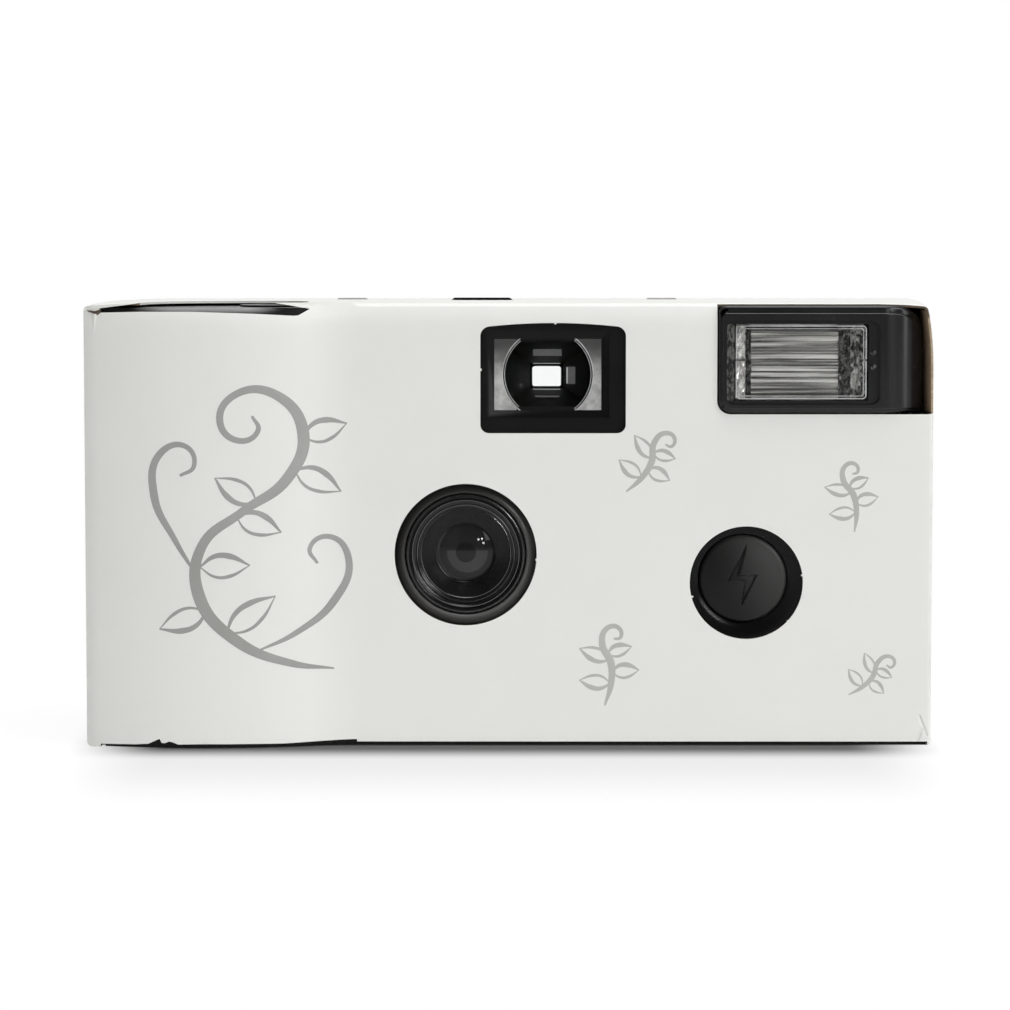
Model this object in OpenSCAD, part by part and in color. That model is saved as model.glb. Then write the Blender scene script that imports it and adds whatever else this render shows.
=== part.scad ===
// Single-use 35 mm film camera with flash, in a folded card sleeve.
// Frame: origin under the middle of the body, X to the right as seen from the front,
// the front faces -Y, Z up. All sizes in millimetres.

/* [Overall] */
// Width of the sleeve
body_w = 115; // [114:1:122]
// Depth of the sleeve, from the front of the grip to the back
body_d = 33; // [33:0.5:37]
// Height of the sleeve
body_h = 60; // [60:0.5:64]

/* [Card sleeve] */
// Thickness of the card
card_t = 0.5; // [0.4:0.05:0.6]
// Air between the card and the moulded covers
card_gap = 0.15; // [0.1:0.05:0.3]
// How far the grip stands out in front of the flat face
grip_depth = 3; // [2:0.5:3.5]
// Radius of the grip's curve
grip_r = 50; // [44:1:60]
// Radius of the hollow blend between grip and flat face
blend_r = 25; // [15:1:30]
// Width of the shoulder opening over the shutter button
shoulder_width = 28; // [26:1:30]
// Reach of the shoulder opening from front to back
shoulder_d = 14.5; // [14.5:0.5:15.5]
// How far the shoulder opening cuts down the front face
shoulder_drop = 1.2; // [0.8:0.1:2]
// Corner radius of the rectangular openings
opening_r = 1.8; // [1:0.1:2.4]

/* [Covers] */
// Wall of the moulded covers
wall = 1.4; // [1.2:0.1:1.6]
// Where front and rear cover meet, from the middle of the depth
split_y = 2; // [1.5:0.5:2.5]
// Corner radius over the flash, seen from the front
flash_corner_r = 5; // [3:0.5:6]
// Radius along the upper and lower front edges
edge_r = 2.2; // [1.8:0.1:2.6]
// Clearance between neighbouring mouldings
fit = 0.1; // [0.05:0.05:0.15]
// Running clearance of shafts and pins
run = 0.05; // [0.03:0.01:0.08]
// Clearance kept round moving pieces
free = 0.3; // [0.25:0.05:0.4]

/* [Taking lens and shutter] */
// Lens axis, from the middle of the width
lens_across = -5.6; // [-7:0.1:-5]
// Height of the lens axis
lens_up = 26; // [26:0.1:27]
// Radius of the lens opening in the card
lens_hole_r = 9.6; // [9.2:0.1:10]
// Radius of the lens retainer
retainer_r = 8.15; // [8:0.05:8.4]
// Free radius of the taking lens
lens_free_r = 3.95; // [3.6:0.05:4.1]
// Rim radius of the taking lens
lens_r = 4.6; // [4.5:0.05:4.8]
// Radius of the aperture stop
stop_r = 1.4; // [1.2:0.1:1.6]
// Radius of the shutter blade's disc
blade_r = 2.5; // [2.2:0.1:2.7]
// Thickness of the shutter blade and the striker
blade_t = 0.4; // [0.3:0.05:0.5]
// Radius of the small pivot pins
pin_r = 0.8; // [0.7:0.05:0.9]

/* [Viewfinder] */
// Middle of the viewfinder, from the middle of the width
finder_across = 5.5; // [5:0.1:6]
// Height of the viewfinder's middle
finder_up = 50.3; // [50:0.1:50.6]
// Width and height of the viewfinder opening in the card
finder_card = [19.6, 14.7];
// Width and height of the clear front plate that shows
finder_clear = [14.45, 9.6];
// Width of the sloping frame round the front plate
finder_slope = 1.2; // [0.8:0.1:1.4]
// Width and height of the eyepiece opening
eyepiece_clear = [7.6, 5.6];
// Radius of the dimple in the front plate
dimple_size = 6.1; // [5.6:0.1:6.4]

/* [Flash] */
// Left edge of the flash housing, from the middle of the width
flash_across = 28.6; // [28.2:0.1:29.5]
// Lower edge of the flash housing
flash_up = 45.3; // [45:0.1:46]
// How far the flash housing stands out of the front cover
flash_proud = 1.4; // [0.8:0.1:1.6]
// Width and height of the clear flash window
window_clear = [18, 10.2];
// Middle of the flash window, across and up
window_place = [39.6, 52];
// Radius of the reflector's trough
trough_r = 4.8; // [4.6:0.1:4.9]
// Radius of the flash tube
tube_r = 1.4; // [1.2:0.1:1.6]
// Middle of the flash button, across and up
button_place = [31.9, 22.7];
// Radius of the flash button's face
button_face_r = 6; // [5.8:0.1:6.2]
// Travel of the flash button
button_travel = 1.2; // [1:0.1:1.2]
// Middle of the hole in the card over the flash button
button_card_place = [32.35, 22.2];
// Radius of the hole in the card over the flash button
button_card_r = 7.65; // [7.4:0.05:8]
// Radius and length of the flash capacitor
capacitor_can = [4.3, 28];

/* [Film and cassette] */
// Width of the film
film_width = 35; // [34.8:0.1:35.2]
// Thickness of the film
film_t = 0.15; // [0.13:0.01:0.2]
// Width and height of one picture
picture_size = [36, 24];
// Pitch of the perforations
hole_pitch = 4.75; // [4.7:0.01:4.8]
// Radius of the cassette's shell
cassette_shell_r = 12.2; // [12:0.1:12.3]
// Length of the cassette over its caps
cassette_length = 44; // [43:0.5:44]
// Distance of the supply spool's axis from the right side
supply_from_right = 19.5; // [19:0.1:19.6]

/* [Film advance] */
// Radius of the advance wheel
wheel_size = 11; // [10.8:0.1:11.4]
// Thickness of the advance wheel
wheel_height = 4; // [3.6:0.1:4]
// Number of grip ribs on the advance wheel
wheel_ribs = 40; // [30:1:48]
// How far the wheel stands into the thumb notch
wheel_reach = 2; // [1.5:0.1:2.4]
// Number of teeth on the sprocket
sprocket_teeth = 8; // [8:1:8]
// Radius of the counter disc
counter_size = 7.9; // [7.6:0.1:8]
// Number of teeth on the counter disc
counter_teeth = 30; // [24:1:36]

/* [Shutter button] */
// Place of the shutter button, from the cassette's axis
release_place = [9, -6];
// Radius of the shutter button
release_size = 4.4; // [4.2:0.1:4.6]
// Travel of the shutter button
release_travel = 1.5; // [1.2:0.1:1.5]
// Arm of the release lever, from its pivot to the button's stem
release_arm = 4.5; // [4.4:0.1:4.8]

/* [Battery] */
// Radius of the battery
cell_r = 7.1; // [6.9:0.1:7.2]
// Length of the battery with its terminal
cell_length = 50.5; // [49.5:0.1:50.5]
// Middle of the battery, from the middle of the width
cell_across = 20.5; // [20.4:0.1:20.8]

/* [Hidden] */
$fn = 64;
// Count of sides on the large curves of the plan
plan_fn = 180;
// Far enough to cut clean through
far = 200;

// Growth against the usual camera, across, in depth and in height
grow_x = body_w / 115;
grow_y = body_d / 33;
grow_z = body_h / 60;
// Growth of round pieces that stand upright, that face the front and that lie across
grow_upright = min(grow_x, grow_y);
grow_facing = min(grow_x, grow_z);
grow_lying = min(grow_y, grow_z);
lens_x = lens_across * grow_x;
lens_z = lens_up * grow_z;
finder_x = finder_across * grow_x;
finder_z = finder_up * grow_z;
finder_hole = [finder_card[0] * grow_x, finder_card[1] * grow_z];
finder_free = [finder_clear[0] * grow_x, finder_clear[1] * grow_z];
eyepiece_free = [eyepiece_clear[0] * grow_x, eyepiece_clear[1] * grow_z];
dimple_r = dimple_size * grow_facing;
flash_x0 = flash_across * grow_x;
flash_z0 = flash_up * grow_z;
window_size = [window_clear[0] * grow_x, window_clear[1] * grow_z];
window_at = [window_place[0] * grow_x, window_place[1] * grow_z];
reflector_r = trough_r * grow_lying;
button_at = [button_place[0] * grow_x, button_place[1] * grow_z];
button_r = button_face_r * grow_facing;
button_hole_at = [button_card_place[0] * grow_x, button_card_place[1] * grow_z];
button_hole_r = button_card_r * grow_facing;
capacitor_size = [capacitor_can[0] * grow_upright, capacitor_can[1] * grow_z];
film_w = film_width * grow_z;
picture = [picture_size[0] * grow_x, picture_size[1] * grow_z];
perf_pitch = hole_pitch * grow_upright;
cassette_h = cassette_length * grow_z;
supply_inset = supply_from_right * grow_x;
wheel_t = wheel_height * grow_z;
counter_r = counter_size * grow_upright;
release_at = release_place * grow_upright;
release_r = release_size * grow_upright;
battery_r = cell_r * grow_upright;
battery_h = cell_length * grow_z;
shoulder_w = shoulder_width * grow_x;

// Faces of the sleeve and of the covers
left_x = -body_w / 2;
right_x = body_w / 2;
back_y = body_d / 2;
grip_y = -body_d / 2;
face_y = grip_y + grip_depth;
skin = card_t + card_gap;
inside = skin + wall;
cover_front = face_y + skin;
cover_front_in = cover_front + wall;
cover_back = back_y - skin;
cover_back_in = cover_back - wall;
cover_top = body_h - skin;
cover_top_in = cover_top - wall;
cover_floor = inside;
cover_right_in = right_x - inside;

// Plan of the sleeve: the grip's arc runs into the flat face through a hollow arc
chamber_wall = 1.2;
cap_proud = 0.35;
cap_room = 0.35;
chamber_gap = 0.35;
cassette_r = min(cassette_shell_r * grow_x,
                 body_d / 2 - inside - chamber_gap - chamber_wall - cap_room - cap_proud);
cap_r = cassette_r + cap_proud;
chamber_r = cap_r + cap_room;
chamber_out = chamber_r + chamber_wall;
cassette_x = left_x + inside + chamber_gap + chamber_out;
wheel_r = min(wheel_size * grow_upright, cassette_r - 1);
grip_centre_y = grip_y + grip_r;
blend_centre_y = face_y - blend_r;
blend_dy = grip_centre_y - blend_centre_y;
blend_dx = sqrt(pow(grip_r + blend_r, 2) - pow(blend_dy, 2));
blend_x = cassette_x + blend_dx;

// Film chambers
cassette_y = cover_back_in - chamber_out - chamber_gap;
film_z = lens_z;
cassette_z0 = film_z - cassette_h / 2;
cassette_z1 = film_z + cassette_h / 2;
shell_wall = 0.4;
cap_t = 0.4;
cap_rim = 1.5;
lip_y = cassette_y + cassette_r - 1.4;
lip_x1 = cassette_x + cassette_r - 1.7;
lip_half = 0.9;
slit_half = 0.3;
spool_core_r = 5.9;
spool_end_r = 5.2;
spool_bore_r = 3.6;
spool_bar = 1.2;
spool_top = cassette_z1 + 0.4;
spool_bottom = cover_floor + 0.5;

// Film path
film_y = cover_back_in - 1.1;
supply_x = right_x - supply_inset;
board_t = 1.2;
board_y0 = cover_front_in + 4.15;
board_y1 = board_y0 + board_t;
supply_gap = 0.3;
supply_out = min(9.9 * grow_x, (cover_back_in - supply_gap - board_y1 - 0.45) / 2);
supply_y = cover_back_in - supply_gap - supply_out;
supply_room = supply_out - 1;
roll_r = supply_room - 0.7;
supply_core_r = 4;
gate_t = 1.2;
gate_y1 = film_y - free;
gate_y0 = gate_y1 - gate_t;
perf_size = [2, 2.8];
perf_z = film_w / 2 - 3.4;
film_z0 = film_z - film_w / 2;
film_z1 = film_z + film_w / 2;

// Deck over the cassette, advance wheel and its drive
deck_t = 1.2;
deck_z0 = cassette_z1 + 0.6;
deck_z1 = deck_z0 + deck_t;
wheel_z0 = deck_z1 + 1.4;
wheel_z1 = wheel_z0 + wheel_t;
hub_r = 4.5;
fork_r = spool_bore_r - free;
fork_slot = spool_bar + 2 * 0.2;
fork_depth = 5;
notch_wall = 1.2;
notch_y = cassette_y + wheel_r - wheel_reach;
notch_half = wheel_r + 1;
notch_z0 = deck_z1 + 0.1;
notch_z1 = wheel_z1 + 1.6;

// Sprocket and counter
sprocket_r = sprocket_teeth * perf_pitch / (2 * PI) - film_t;
sprocket_y = film_y - film_t - sprocket_r;
tooth_h = 1;
sprocket_away = cap_r + sprocket_r + tooth_h + 0.44;
sprocket_x = cassette_x + sqrt(pow(sprocket_away, 2) - pow(sprocket_y - cassette_y, 2));
tooth_w = 1.2;
sprocket_t = 2.2;
sprocket_z0 = film_z + perf_z - sprocket_t / 2 + 0.2;
shaft_r = 1.5;
shaft_z0 = sprocket_z0 - 2;
counter_x = finder_x - 16 * grow_x;
counter_y = sprocket_y - 1.25 * grow_upright;
counter_z0 = deck_z1 + 4.1;
counter_gear_t = 1.2;
counter_plate_t = 0.4;
counter_pin_r = 1.2;
counter_root_r = counter_r - 0.7;
finger_r = norm([counter_x - sprocket_x, counter_y - sprocket_y]) - counter_r - free - 0.06;
sprocket_lug_half = shaft_r + 0.7;
counter_window_x = counter_x + 5.5 * grow_upright;
counter_window_r = 2.5;
counter_slot = [8.6, 4.6];

// Layers of the shutter, from the front
stage_t = 1;
stage_y1 = cover_front_in + 5.05 + stage_t;
stage_y0 = stage_y1 - stage_t;
blade_y1 = stage_y0 - 0.35;
blade_y0 = blade_y1 - blade_t;
plate_t = 0.8;
plate_y1 = stage_y0 - 1.1;
plate_y0 = plate_y1 - plate_t;
flange_t = 0.9;
flange_y1 = plate_y0 - fit;
flange_y0 = flange_y1 - flange_t;
flange_r = retainer_r + 1.25;
retainer_y0 = cover_front_in - 0.25;
seat_y = flange_y0 + 0.1;
lens_edge = flange_y1 - seat_y - fit;
chamfer_r = lens_hole_r;
well_r = retainer_r + fit;
stage_x0 = lens_x - 15;
stage_x1 = lens_x + 12.6;
stage_z0 = lens_z - 12;

// Shutter blade, striker and release lever, placed from the lens axis
blade_pivot = [lens_x - 6.5, lens_z + 5];
blade_arm = norm([6.5, 5]);
tail_len = 4;
tail_angle = 80;
tail_w = 1.2;
striker_pivot = [lens_x - 13, lens_z + 14 * grow_z];
striker_tip = [blade_pivot[0] - 1.2, blade_pivot[1] + 3.9];
lever_z = deck_z1 + 1.7;
lever_half = 0.8;
catch_drop = 1.9;
catch_gap = 0.4;
striker_top = lever_z - catch_drop - catch_gap - striker_pivot[1];
striker_ear = 5.4;
arm_w = 1.6;
hub_out = pin_r + run + 1;
spring_r = 1.25;
wire_r = 0.2;
spring_turns = 8;
spring_x = striker_pivot[0] - striker_ear;
spring_y = stage_y0 - 1.7;
spring_z1 = striker_pivot[1] - 0.7;
spring_z0 = spring_z1 - 9.3;
release_x = cassette_x + release_at[0];
release_y = cassette_y + release_at[1];
stem_r = 1.3;
stem_tip_r = 0.8;
stem_x = release_x + 2.5 * grow_upright;
lever_x = stem_x + release_arm;
lever_y1 = stage_y0 - 0.2;
lever_y0 = lever_y1 - 1.3;
stem_y = (lever_y0 + lever_y1) / 2;
lever_tail = 1.3;
catch_x = striker_pivot[0] - 2.2;
catch_w = 0.8;
catch_z = lever_z - catch_drop;
stem_z0 = lever_z + lever_half + free + 0.1;
release_flange_t = 0.9;
release_top = cover_top + 0.25;
tower_z1 = lever_z + 2;

// Viewfinder
plate_lap = 0.5;
finder_plate_t = 1.5;
finder_plate_y0 = cover_front_in + fit / 2;
finder_plate_y1 = finder_plate_y0 + finder_plate_t;
eyepiece_t = 1.2;
eyepiece_y1 = cover_back_in - fit;
eyepiece_y0 = eyepiece_y1 - eyepiece_t;
finder_wall = 0.8;
finder_y0 = finder_plate_y1 + fit;
finder_y1 = eyepiece_y0 - fit;
dimple_sphere = 14;

// Flash
flash_y0 = cover_front - flash_proud;
window_lap = 0.8;
window_flange_t = 0.5;
window_recess = [1.35, 0.55];
window_front = flash_y0 + 0.3;
window_back = cover_front_in + fit / 2;
reflector_t = 0.4;
reflector_y0 = window_back + window_flange_t + fit;
reflector_half = window_size[0] / 2 - 0.4;
tube_y = reflector_y0 + 3.2;
tube_reach = 1.6;
board_x0 = button_at[0] - 2.5 * grow_x;
board_x1 = board_x0 + 16.6 * grow_x;
board_z0 = 6 * grow_z;
board_z1 = window_at[1] - 4.1 * grow_z;
capacitor_x = board_x1 + capacitor_size[0] + free;
capacitor_y = cover_front_in + capacitor_size[0] + 0.55;
button_front = face_y + 0.3;
button_hole_in = button_r + 0.75;
button_skirt_r = button_r + 0.4;
button_flange_r = button_r + 1.2;
button_flange_t = 0.7;
button_round = 1.1;
dome_t = 0.25;

// Battery
battery_at = [cell_across * grow_x, cover_front_in + battery_r + 1.35];
battery_z0 = cover_floor + 1.95;
nub_r = 2.75;
nub_h = 1.4;
battery_z1 = battery_z0 + battery_h;
cradle_r = battery_r + free;
cradle_out = cradle_r + 1;
spine_w = 4;
spine_y0 = battery_at[1] + battery_r + 0.5;
spine_y1 = spine_y0 + 1.2;
contact_t = 0.3;

// Cassette door in the floor
door_r = chamber_out - 0.9;
door_pin_r = spool_bore_r - free;

// Shared shapes

// Span of a given half width about a middle
function about(at, half) = [at - half, at + half];

// Box between two corners
module block(x, y, z) {
    translate([x[0], y[0], z[0]])
        cube([x[1] - x[0], y[1] - y[0], z[1] - z[0]]);
}

// Upright cylinder
module post(x, y, r, z) {
    translate([x, y, z[0]])
        cylinder(r = r, h = z[1] - z[0]);
}

// Cylinder from front to back
module pin(x, z, r, y) {
    translate([x, y[0], z])
        rotate([-90, 0, 0])
            cylinder(r = r, h = y[1] - y[0]);
}

// Cylinder from left to right
module rod(y, z, r, x) {
    translate([x[0], y, z])
        rotate([0, 90, 0])
            cylinder(r = r, h = x[1] - x[0]);
}

// Turned shape about a line from front to back; the profile's second axis runs to the back
module turned(x, z) {
    translate([x, 0, z])
        rotate([-90, 0, 0])
            rotate_extrude()
                children();
}

// Front view drawn in X and Z, given its depth
module from_front(y) {
    translate([0, y[1], 0])
        rotate([90, 0, 0])
            linear_extrude(y[1] - y[0])
                children();
}

// Side view drawn in Y and Z, given its width
module from_side(x) {
    translate([x[0], 0, 0])
        rotate([90, 0, 90])
            linear_extrude(x[1] - x[0])
                children();
}

// Plan drawn in X and Y, given its height
module from_top(z) {
    translate([0, 0, z[0]])
        linear_extrude(z[1] - z[0])
            children();
}

// What a rounding of radius r takes off one corner; side gives the way into the rectangle
module corner_waste(x, y, side, r) {
    if (r > 0)
        difference() {
            translate([x - (side[0] > 0 ? 1 : r), y - (side[1] > 0 ? 1 : r)])
                square(r + 1);
            translate([x + side[0] * r, y + side[1] * r])
                circle(r);
        }
}

// Rectangle with its own radius at each corner: lower left, lower right, upper right, upper left
module rounded_corners(x, y, r) {
    difference() {
        translate([x[0], y[0]])
            square([x[1] - x[0], y[1] - y[0]]);
        corner_waste(x[0], y[0], [1, 1], r[0]);
        corner_waste(x[1], y[0], [-1, 1], r[1]);
        corner_waste(x[1], y[1], [-1, -1], r[2]);
        corner_waste(x[0], y[1], [1, -1], r[3]);
    }
}

// Rectangle of a given size round its middle, with one radius at all corners
module rounded_about(at, size, r) {
    rounded_corners([at[0] - size[0] / 2, at[0] + size[0] / 2],
                    [at[1] - size[1] / 2, at[1] + size[1] / 2], [r, r, r, r]);
}

// Plain rectangle round its middle
module square_about(at, size) {
    translate(at)
        square(size, center = true);
}

// Plan of the sleeve, drawn in by inset
module sleeve_plan(inset) {
    share = (grip_r - inset) / (grip_r + blend_r);
    joint_x = cassette_x + share * blend_dx;
    joint_y = grip_centre_y - share * blend_dy;
    flat_y = face_y + inset;
    translate([left_x + inset, flat_y])
        square([body_w - 2 * inset, back_y - inset - flat_y]);
    intersection() {
        translate([cassette_x, grip_centre_y])
            circle(grip_r - inset, $fn = plan_fn);
        translate([left_x + inset, grip_y])
            square([joint_x - left_x - inset, grip_depth + inset + 1]);
    }
    difference() {
        translate([joint_x, joint_y])
            square([blend_x - joint_x, flat_y + 1 - joint_y]);
        translate([blend_x, blend_centre_y])
            circle(blend_r + inset, $fn = plan_fn);
    }
}

// Outside of the two covers together, drawn in by depth
module cover_body(depth) {
    inset = skin + depth;
    soft = max(edge_r - depth, 0.4);
    intersection() {
        from_top([inset, body_h - inset])
            sleeve_plan(inset);
        from_front([-far, far])
            rounded_corners([left_x + inset, right_x - inset], [inset, body_h - inset],
                            [0, soft, max(flash_corner_r - depth, 0.4), 0]);
        from_side([-far, far])
            rounded_corners([grip_y + inset, back_y - inset], [inset, body_h - inset],
                            [soft, soft, soft, soft]);
    }
}

// Hole for the cassette door, in both covers
module door_hole() {
    post(cassette_x, cassette_y, door_r + fit, [0, cover_floor + 1]);
}

// Places of the snap hooks: across, and 1 for the roof or 0 for the floor
hook_w = 6;
hook_t = 1.1;
hook_reach = 4;
hook_places = [[sprocket_x + 2.5, 1], [window_at[0] + 3.4 * grow_x, 1],
               [lens_x - 9.4 * grow_x, 0], [lens_x + 13.6 * grow_x, 0]];

// Face of a hook that looks inward, and its face on the wall
function hook_z(roof) = roof ? cover_top_in - fit - hook_t : cover_floor + fit;

// Snap hook of the rear cover
module hook(x, roof) {
    z = hook_z(roof);
    half = hook_w / 2;
    nib_z = roof ? [z + hook_t - 0.2, z + hook_t + 0.8] : [z - 0.8, z + 0.2];
    root_z = roof ? [z, z + hook_t + 0.6] : [z - 0.6, z + hook_t];
    block([x - half, x + half], [split_y - hook_reach, split_y + 3], [z, z + hook_t]);
    block([x - half, x + half], [split_y + fit, split_y + 3], root_z);
    block([x - half, x + half], [split_y - hook_reach + 0.6, split_y - hook_reach + 1.8], nib_z);
}

// Window in the front cover that a hook's nib snaps into
module hook_window(x, roof) {
    z = roof ? [cover_top_in - 1, body_h] : [0, cover_floor + 1];
    block([x - hook_w / 2 - fit, x + hook_w / 2 + fit],
          [split_y - hook_reach + 0.5, split_y - hook_reach + 2], z);
}

// Sleeve

module card_sleeve() {
    color("gainsboro")
        difference() {
            from_top([0, body_h])
                sleeve_plan(0);
            from_top([card_t, body_h - card_t])
                sleeve_plan(card_t);
            sleeve_openings();
        }
}

module sleeve_openings() {
    through_front = [grip_y - 1, face_y + card_t + 0.4];
    through_back = [back_y - card_t - 0.4, back_y + 1];
    through_top = [body_h - card_t - 0.4, body_h + 1];
    shoulder_x1 = lens_x - 21 * grow_x;
    pin(lens_x, lens_z, lens_hole_r, through_front);
    pin(button_hole_at[0], button_hole_at[1], button_hole_r, through_front);
    from_front(through_front) {
        rounded_about([finder_x + 0.7, finder_z - 0.5], finder_hole, opening_r);
        rounded_corners([flash_x0 - 0.3, right_x + 1], [flash_z0 - 0.3, body_h + 2],
                        [opening_r, 0, 0, 0]);
    }
    from_top(through_top) {
        rounded_corners([shoulder_x1 - shoulder_w, shoulder_x1], [grip_y - 1, grip_y + shoulder_d + 1],
                        [0, 0, opening_r, opening_r]);
        rounded_about([counter_window_x + 1.5, counter_y], counter_slot, opening_r);
        for (x = [-21.7, 21.7] * grow_x)
            square_about([x, counter_y + 3], [4.4, 0.6]);
    }
    block([shoulder_x1 - shoulder_w, shoulder_x1], [grip_y - 1, face_y + card_t],
          [body_h - shoulder_drop, body_h + 1]);
    from_front(through_back) {
        rounded_about([cassette_x, (notch_z0 + notch_z1) / 2],
                      [2 * notch_half + 1, notch_z1 - notch_z0 + 1], opening_r);
        rounded_about([finder_x, finder_z], eyepiece_free + [3, 3], opening_r);
    }
    pin(lamp_x, lamp_z, lamp_r + 0.5, through_back);
}

// Moulded covers

module front_cover() {
    color("#1c1c1e")
        difference() {
            union() {
                difference() {
                    cover_body(0);
                    cover_body(wall);
                    block([-far, far], [split_y, far], [-far, far]);
                }
                flash_housing();
                pin(lens_x, lens_z, flange_r, [cover_front + 0.5, flange_y0 - fit]);
            }
            pin(lens_x, lens_z, well_r, [-far, 0]);
            lens_chamfer();
            finder_frame();
            flash_recess();
            pin(button_at[0], button_at[1], button_hole_in, [-far, 0]);
            post(release_x, release_y, release_r + fit, [cover_top_in - 1, body_h + 1]);
            door_hole();
            for (place = hook_places)
                hook_window(place[0], place[1]);
        }
}

// Dished ring round the lens
module lens_chamfer() {
    turned(lens_x, lens_z)
        polygon([[0, cover_front - 1], [chamfer_r + 0.9, cover_front - 1], [chamfer_r, cover_front],
                 [well_r - 0.3, cover_front + 1.4], [0, cover_front + 1.4]]);
}

// Opening for the viewfinder, with sloping sides
module finder_frame() {
    from_front([-far, 0])
        square_about([finder_x, finder_z], finder_free);
    hull() {
        from_front([cover_front - 0.02, cover_front])
            square_about([finder_x, finder_z], finder_free + 2 * [finder_slope, finder_slope]);
        from_front([cover_front + 1, cover_front + 1.02])
            square_about([finder_x, finder_z], finder_free - [0.3, 0.3]);
    }
}

// Raised housing of the flash, rounded off to the right
module flash_housing() {
    shy = 0.05;
    right = right_x - skin - shy;
    top = cover_top - shy;
    back = cover_front + wall / 2;
    corner = flash_corner_r - shy;
    intersection() {
        from_top([0, body_h])
            rounded_corners([flash_x0, right], [flash_y0, back], [0.6, 4.1, 0, 0]);
        from_front([-far, far])
            rounded_corners([flash_x0, right], [flash_z0, top], [opening_r, 0.6, corner, opening_r]);
        from_side([-far, far])
            rounded_corners([flash_y0, back], [flash_z0, top], [0.6, 0, 0, 1.1]);
    }
}

// Recess and through hole for the flash window
module flash_recess() {
    from_front([-far, flash_y0 + 0.8])
        rounded_about(window_at, window_size + 2 * window_recess, 0.8);
    from_front([-far, 0])
        rounded_about(window_at, window_size + [fit, fit], 0.5);
}

module rear_cover() {
    color("#1c1c1e") {
        difference() {
            union() {
                difference() {
                    cover_body(0);
                    cover_body(wall);
                }
                thumb_notch_walls();
                film_rails();
            }
            block([-far, far], [-far, split_y], [-far, far]);
            block(notch_x(0), [notch_y, far], [notch_z0, notch_z1]);
            post(cassette_x, cassette_y, wheel_r + free, [wheel_z0 - free, wheel_z1 + free]);
            from_front([0, far])
                square_about([finder_x, finder_z], eyepiece_free);
            post(counter_window_x, counter_y, counter_window_r + fit, [cover_top_in - 1, body_h + 1]);
            pin(lamp_x, lamp_z, lamp_r + fit, [0, far]);
            door_hole();
        }
        for (place = hook_places)
            hook(place[0], place[1]);
    }
}

// Span of the thumb notch, with its walls
function notch_x(grow) = [cassette_x - notch_half - grow, cassette_x + notch_half + grow];

module thumb_notch_walls() {
    intersection() {
        cover_body(0);
        block(notch_x(notch_wall), [notch_y - notch_wall, back_y], [notch_z0 - notch_wall, cover_top]);
    }
}

// Rails that hold the film flat
module film_rails() {
    rail_half = 0.6;
    for (side = [-1, 1])
        block([lens_x - 8.4 * grow_x, lens_x + 17.6 * grow_x], [film_y + 0.3, cover_back_in + 0.5],
              about(film_z + side * (film_w / 2 - 1.7), rail_half));
}

module cassette_door() {
    color("#242426") {
        post(cassette_x, cassette_y, door_r, [skin, cover_floor]);
        post(cassette_x, cassette_y, door_pin_r, [cover_floor - 0.5, cassette_z0 + 2]);
        difference() {
            post(cassette_x, cassette_y, cap_r - 2, [cover_floor - 0.5, cassette_z0 - fit]);
            post(cassette_x, cassette_y, cap_r - 3.2, [0, cassette_z0 + 1]);
        }
    }
}

// Chassis

module chassis() {
    color("#2a2a2d")
        difference() {
            union() {
                chamber_wall_ring(cassette_x, cassette_y, chamber_out, chamber_r, [cover_floor + 0.15, deck_z0]);
                chamber_wall_ring(supply_x, supply_y, supply_out, supply_room, [cover_floor + 0.15, film_z1 + 2.5]);
                post(supply_x, supply_y, supply_out, [cover_floor + 0.15, cover_floor + 1.35]);
                post(supply_x, supply_y, shaft_r, [cover_floor + 0.15, film_z0 + 4]);
                front_stage();
                light_box();
                film_gate();
                deck();
                battery_cradle();
                sprocket_lug();
            }
            light_box_hollow();
            post(sprocket_x, sprocket_y, shaft_r + run, [shaft_z0 - 0.1, far]);
            post(sprocket_x, sprocket_y, sprocket_r + tooth_h + free,
                 [sprocket_z0 - free, sprocket_z0 + sprocket_t + free]);
            post(cassette_x, cassette_y, hub_r + run, [deck_z0 - 1, deck_z1 + 1]);
            film_way();
        }
}

// Upright round wall of a film chamber
module chamber_wall_ring(x, y, out, in, z) {
    difference() {
        post(x, y, out, z);
        post(x, y, in, z + [-1, 1]);
    }
}

// Wall behind the shutter, with its pins and the tower for the release lever
module front_stage() {
    tower_x = [lever_x - 2.1, striker_pivot[0] + 4.5];
    block([stage_x0, stage_x1], [stage_y0, stage_y1], [stage_z0, finder_z - 5.9]);
    block([cassette_x + chamber_r - 0.6, tower_x[1]], [stage_y0, stage_y1], [lens_z, deck_z1]);
    block(tower_x, [stage_y0, stage_y1], [lens_z, tower_z1]);
    for (at = [blade_pivot, striker_pivot])
        pin(at[0], at[1], pin_r, [plate_y1 + fit / 2, stage_y0 + 0.2]);
    pin(lever_x, lever_z, pin_r, [lever_y0 - 0.3, stage_y0 + 0.2]);
    pin(spring_x, spring_z0 - 0.75, 0.6, [spring_y - spring_r, stage_y0 + 0.2]);
    for (at = [[9, 8], [9, -8.5], [-9, -8.5]])
        pin(lens_x + at[0], lens_z + at[1], 1.5, [plate_y1, stage_y0 + 0.2]);
}

// Tapered light box from the stage to the film gate
module light_box() {
    hull() {
        from_front([stage_y1 - 0.02, stage_y1])
            square_about([lens_x, film_z], [14 * grow_x, 12 * grow_z]);
        from_front([gate_y0, gate_y0 + 0.02])
            square_about([lens_x, film_z], picture + [2.4, 2.4]);
    }
}

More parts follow.
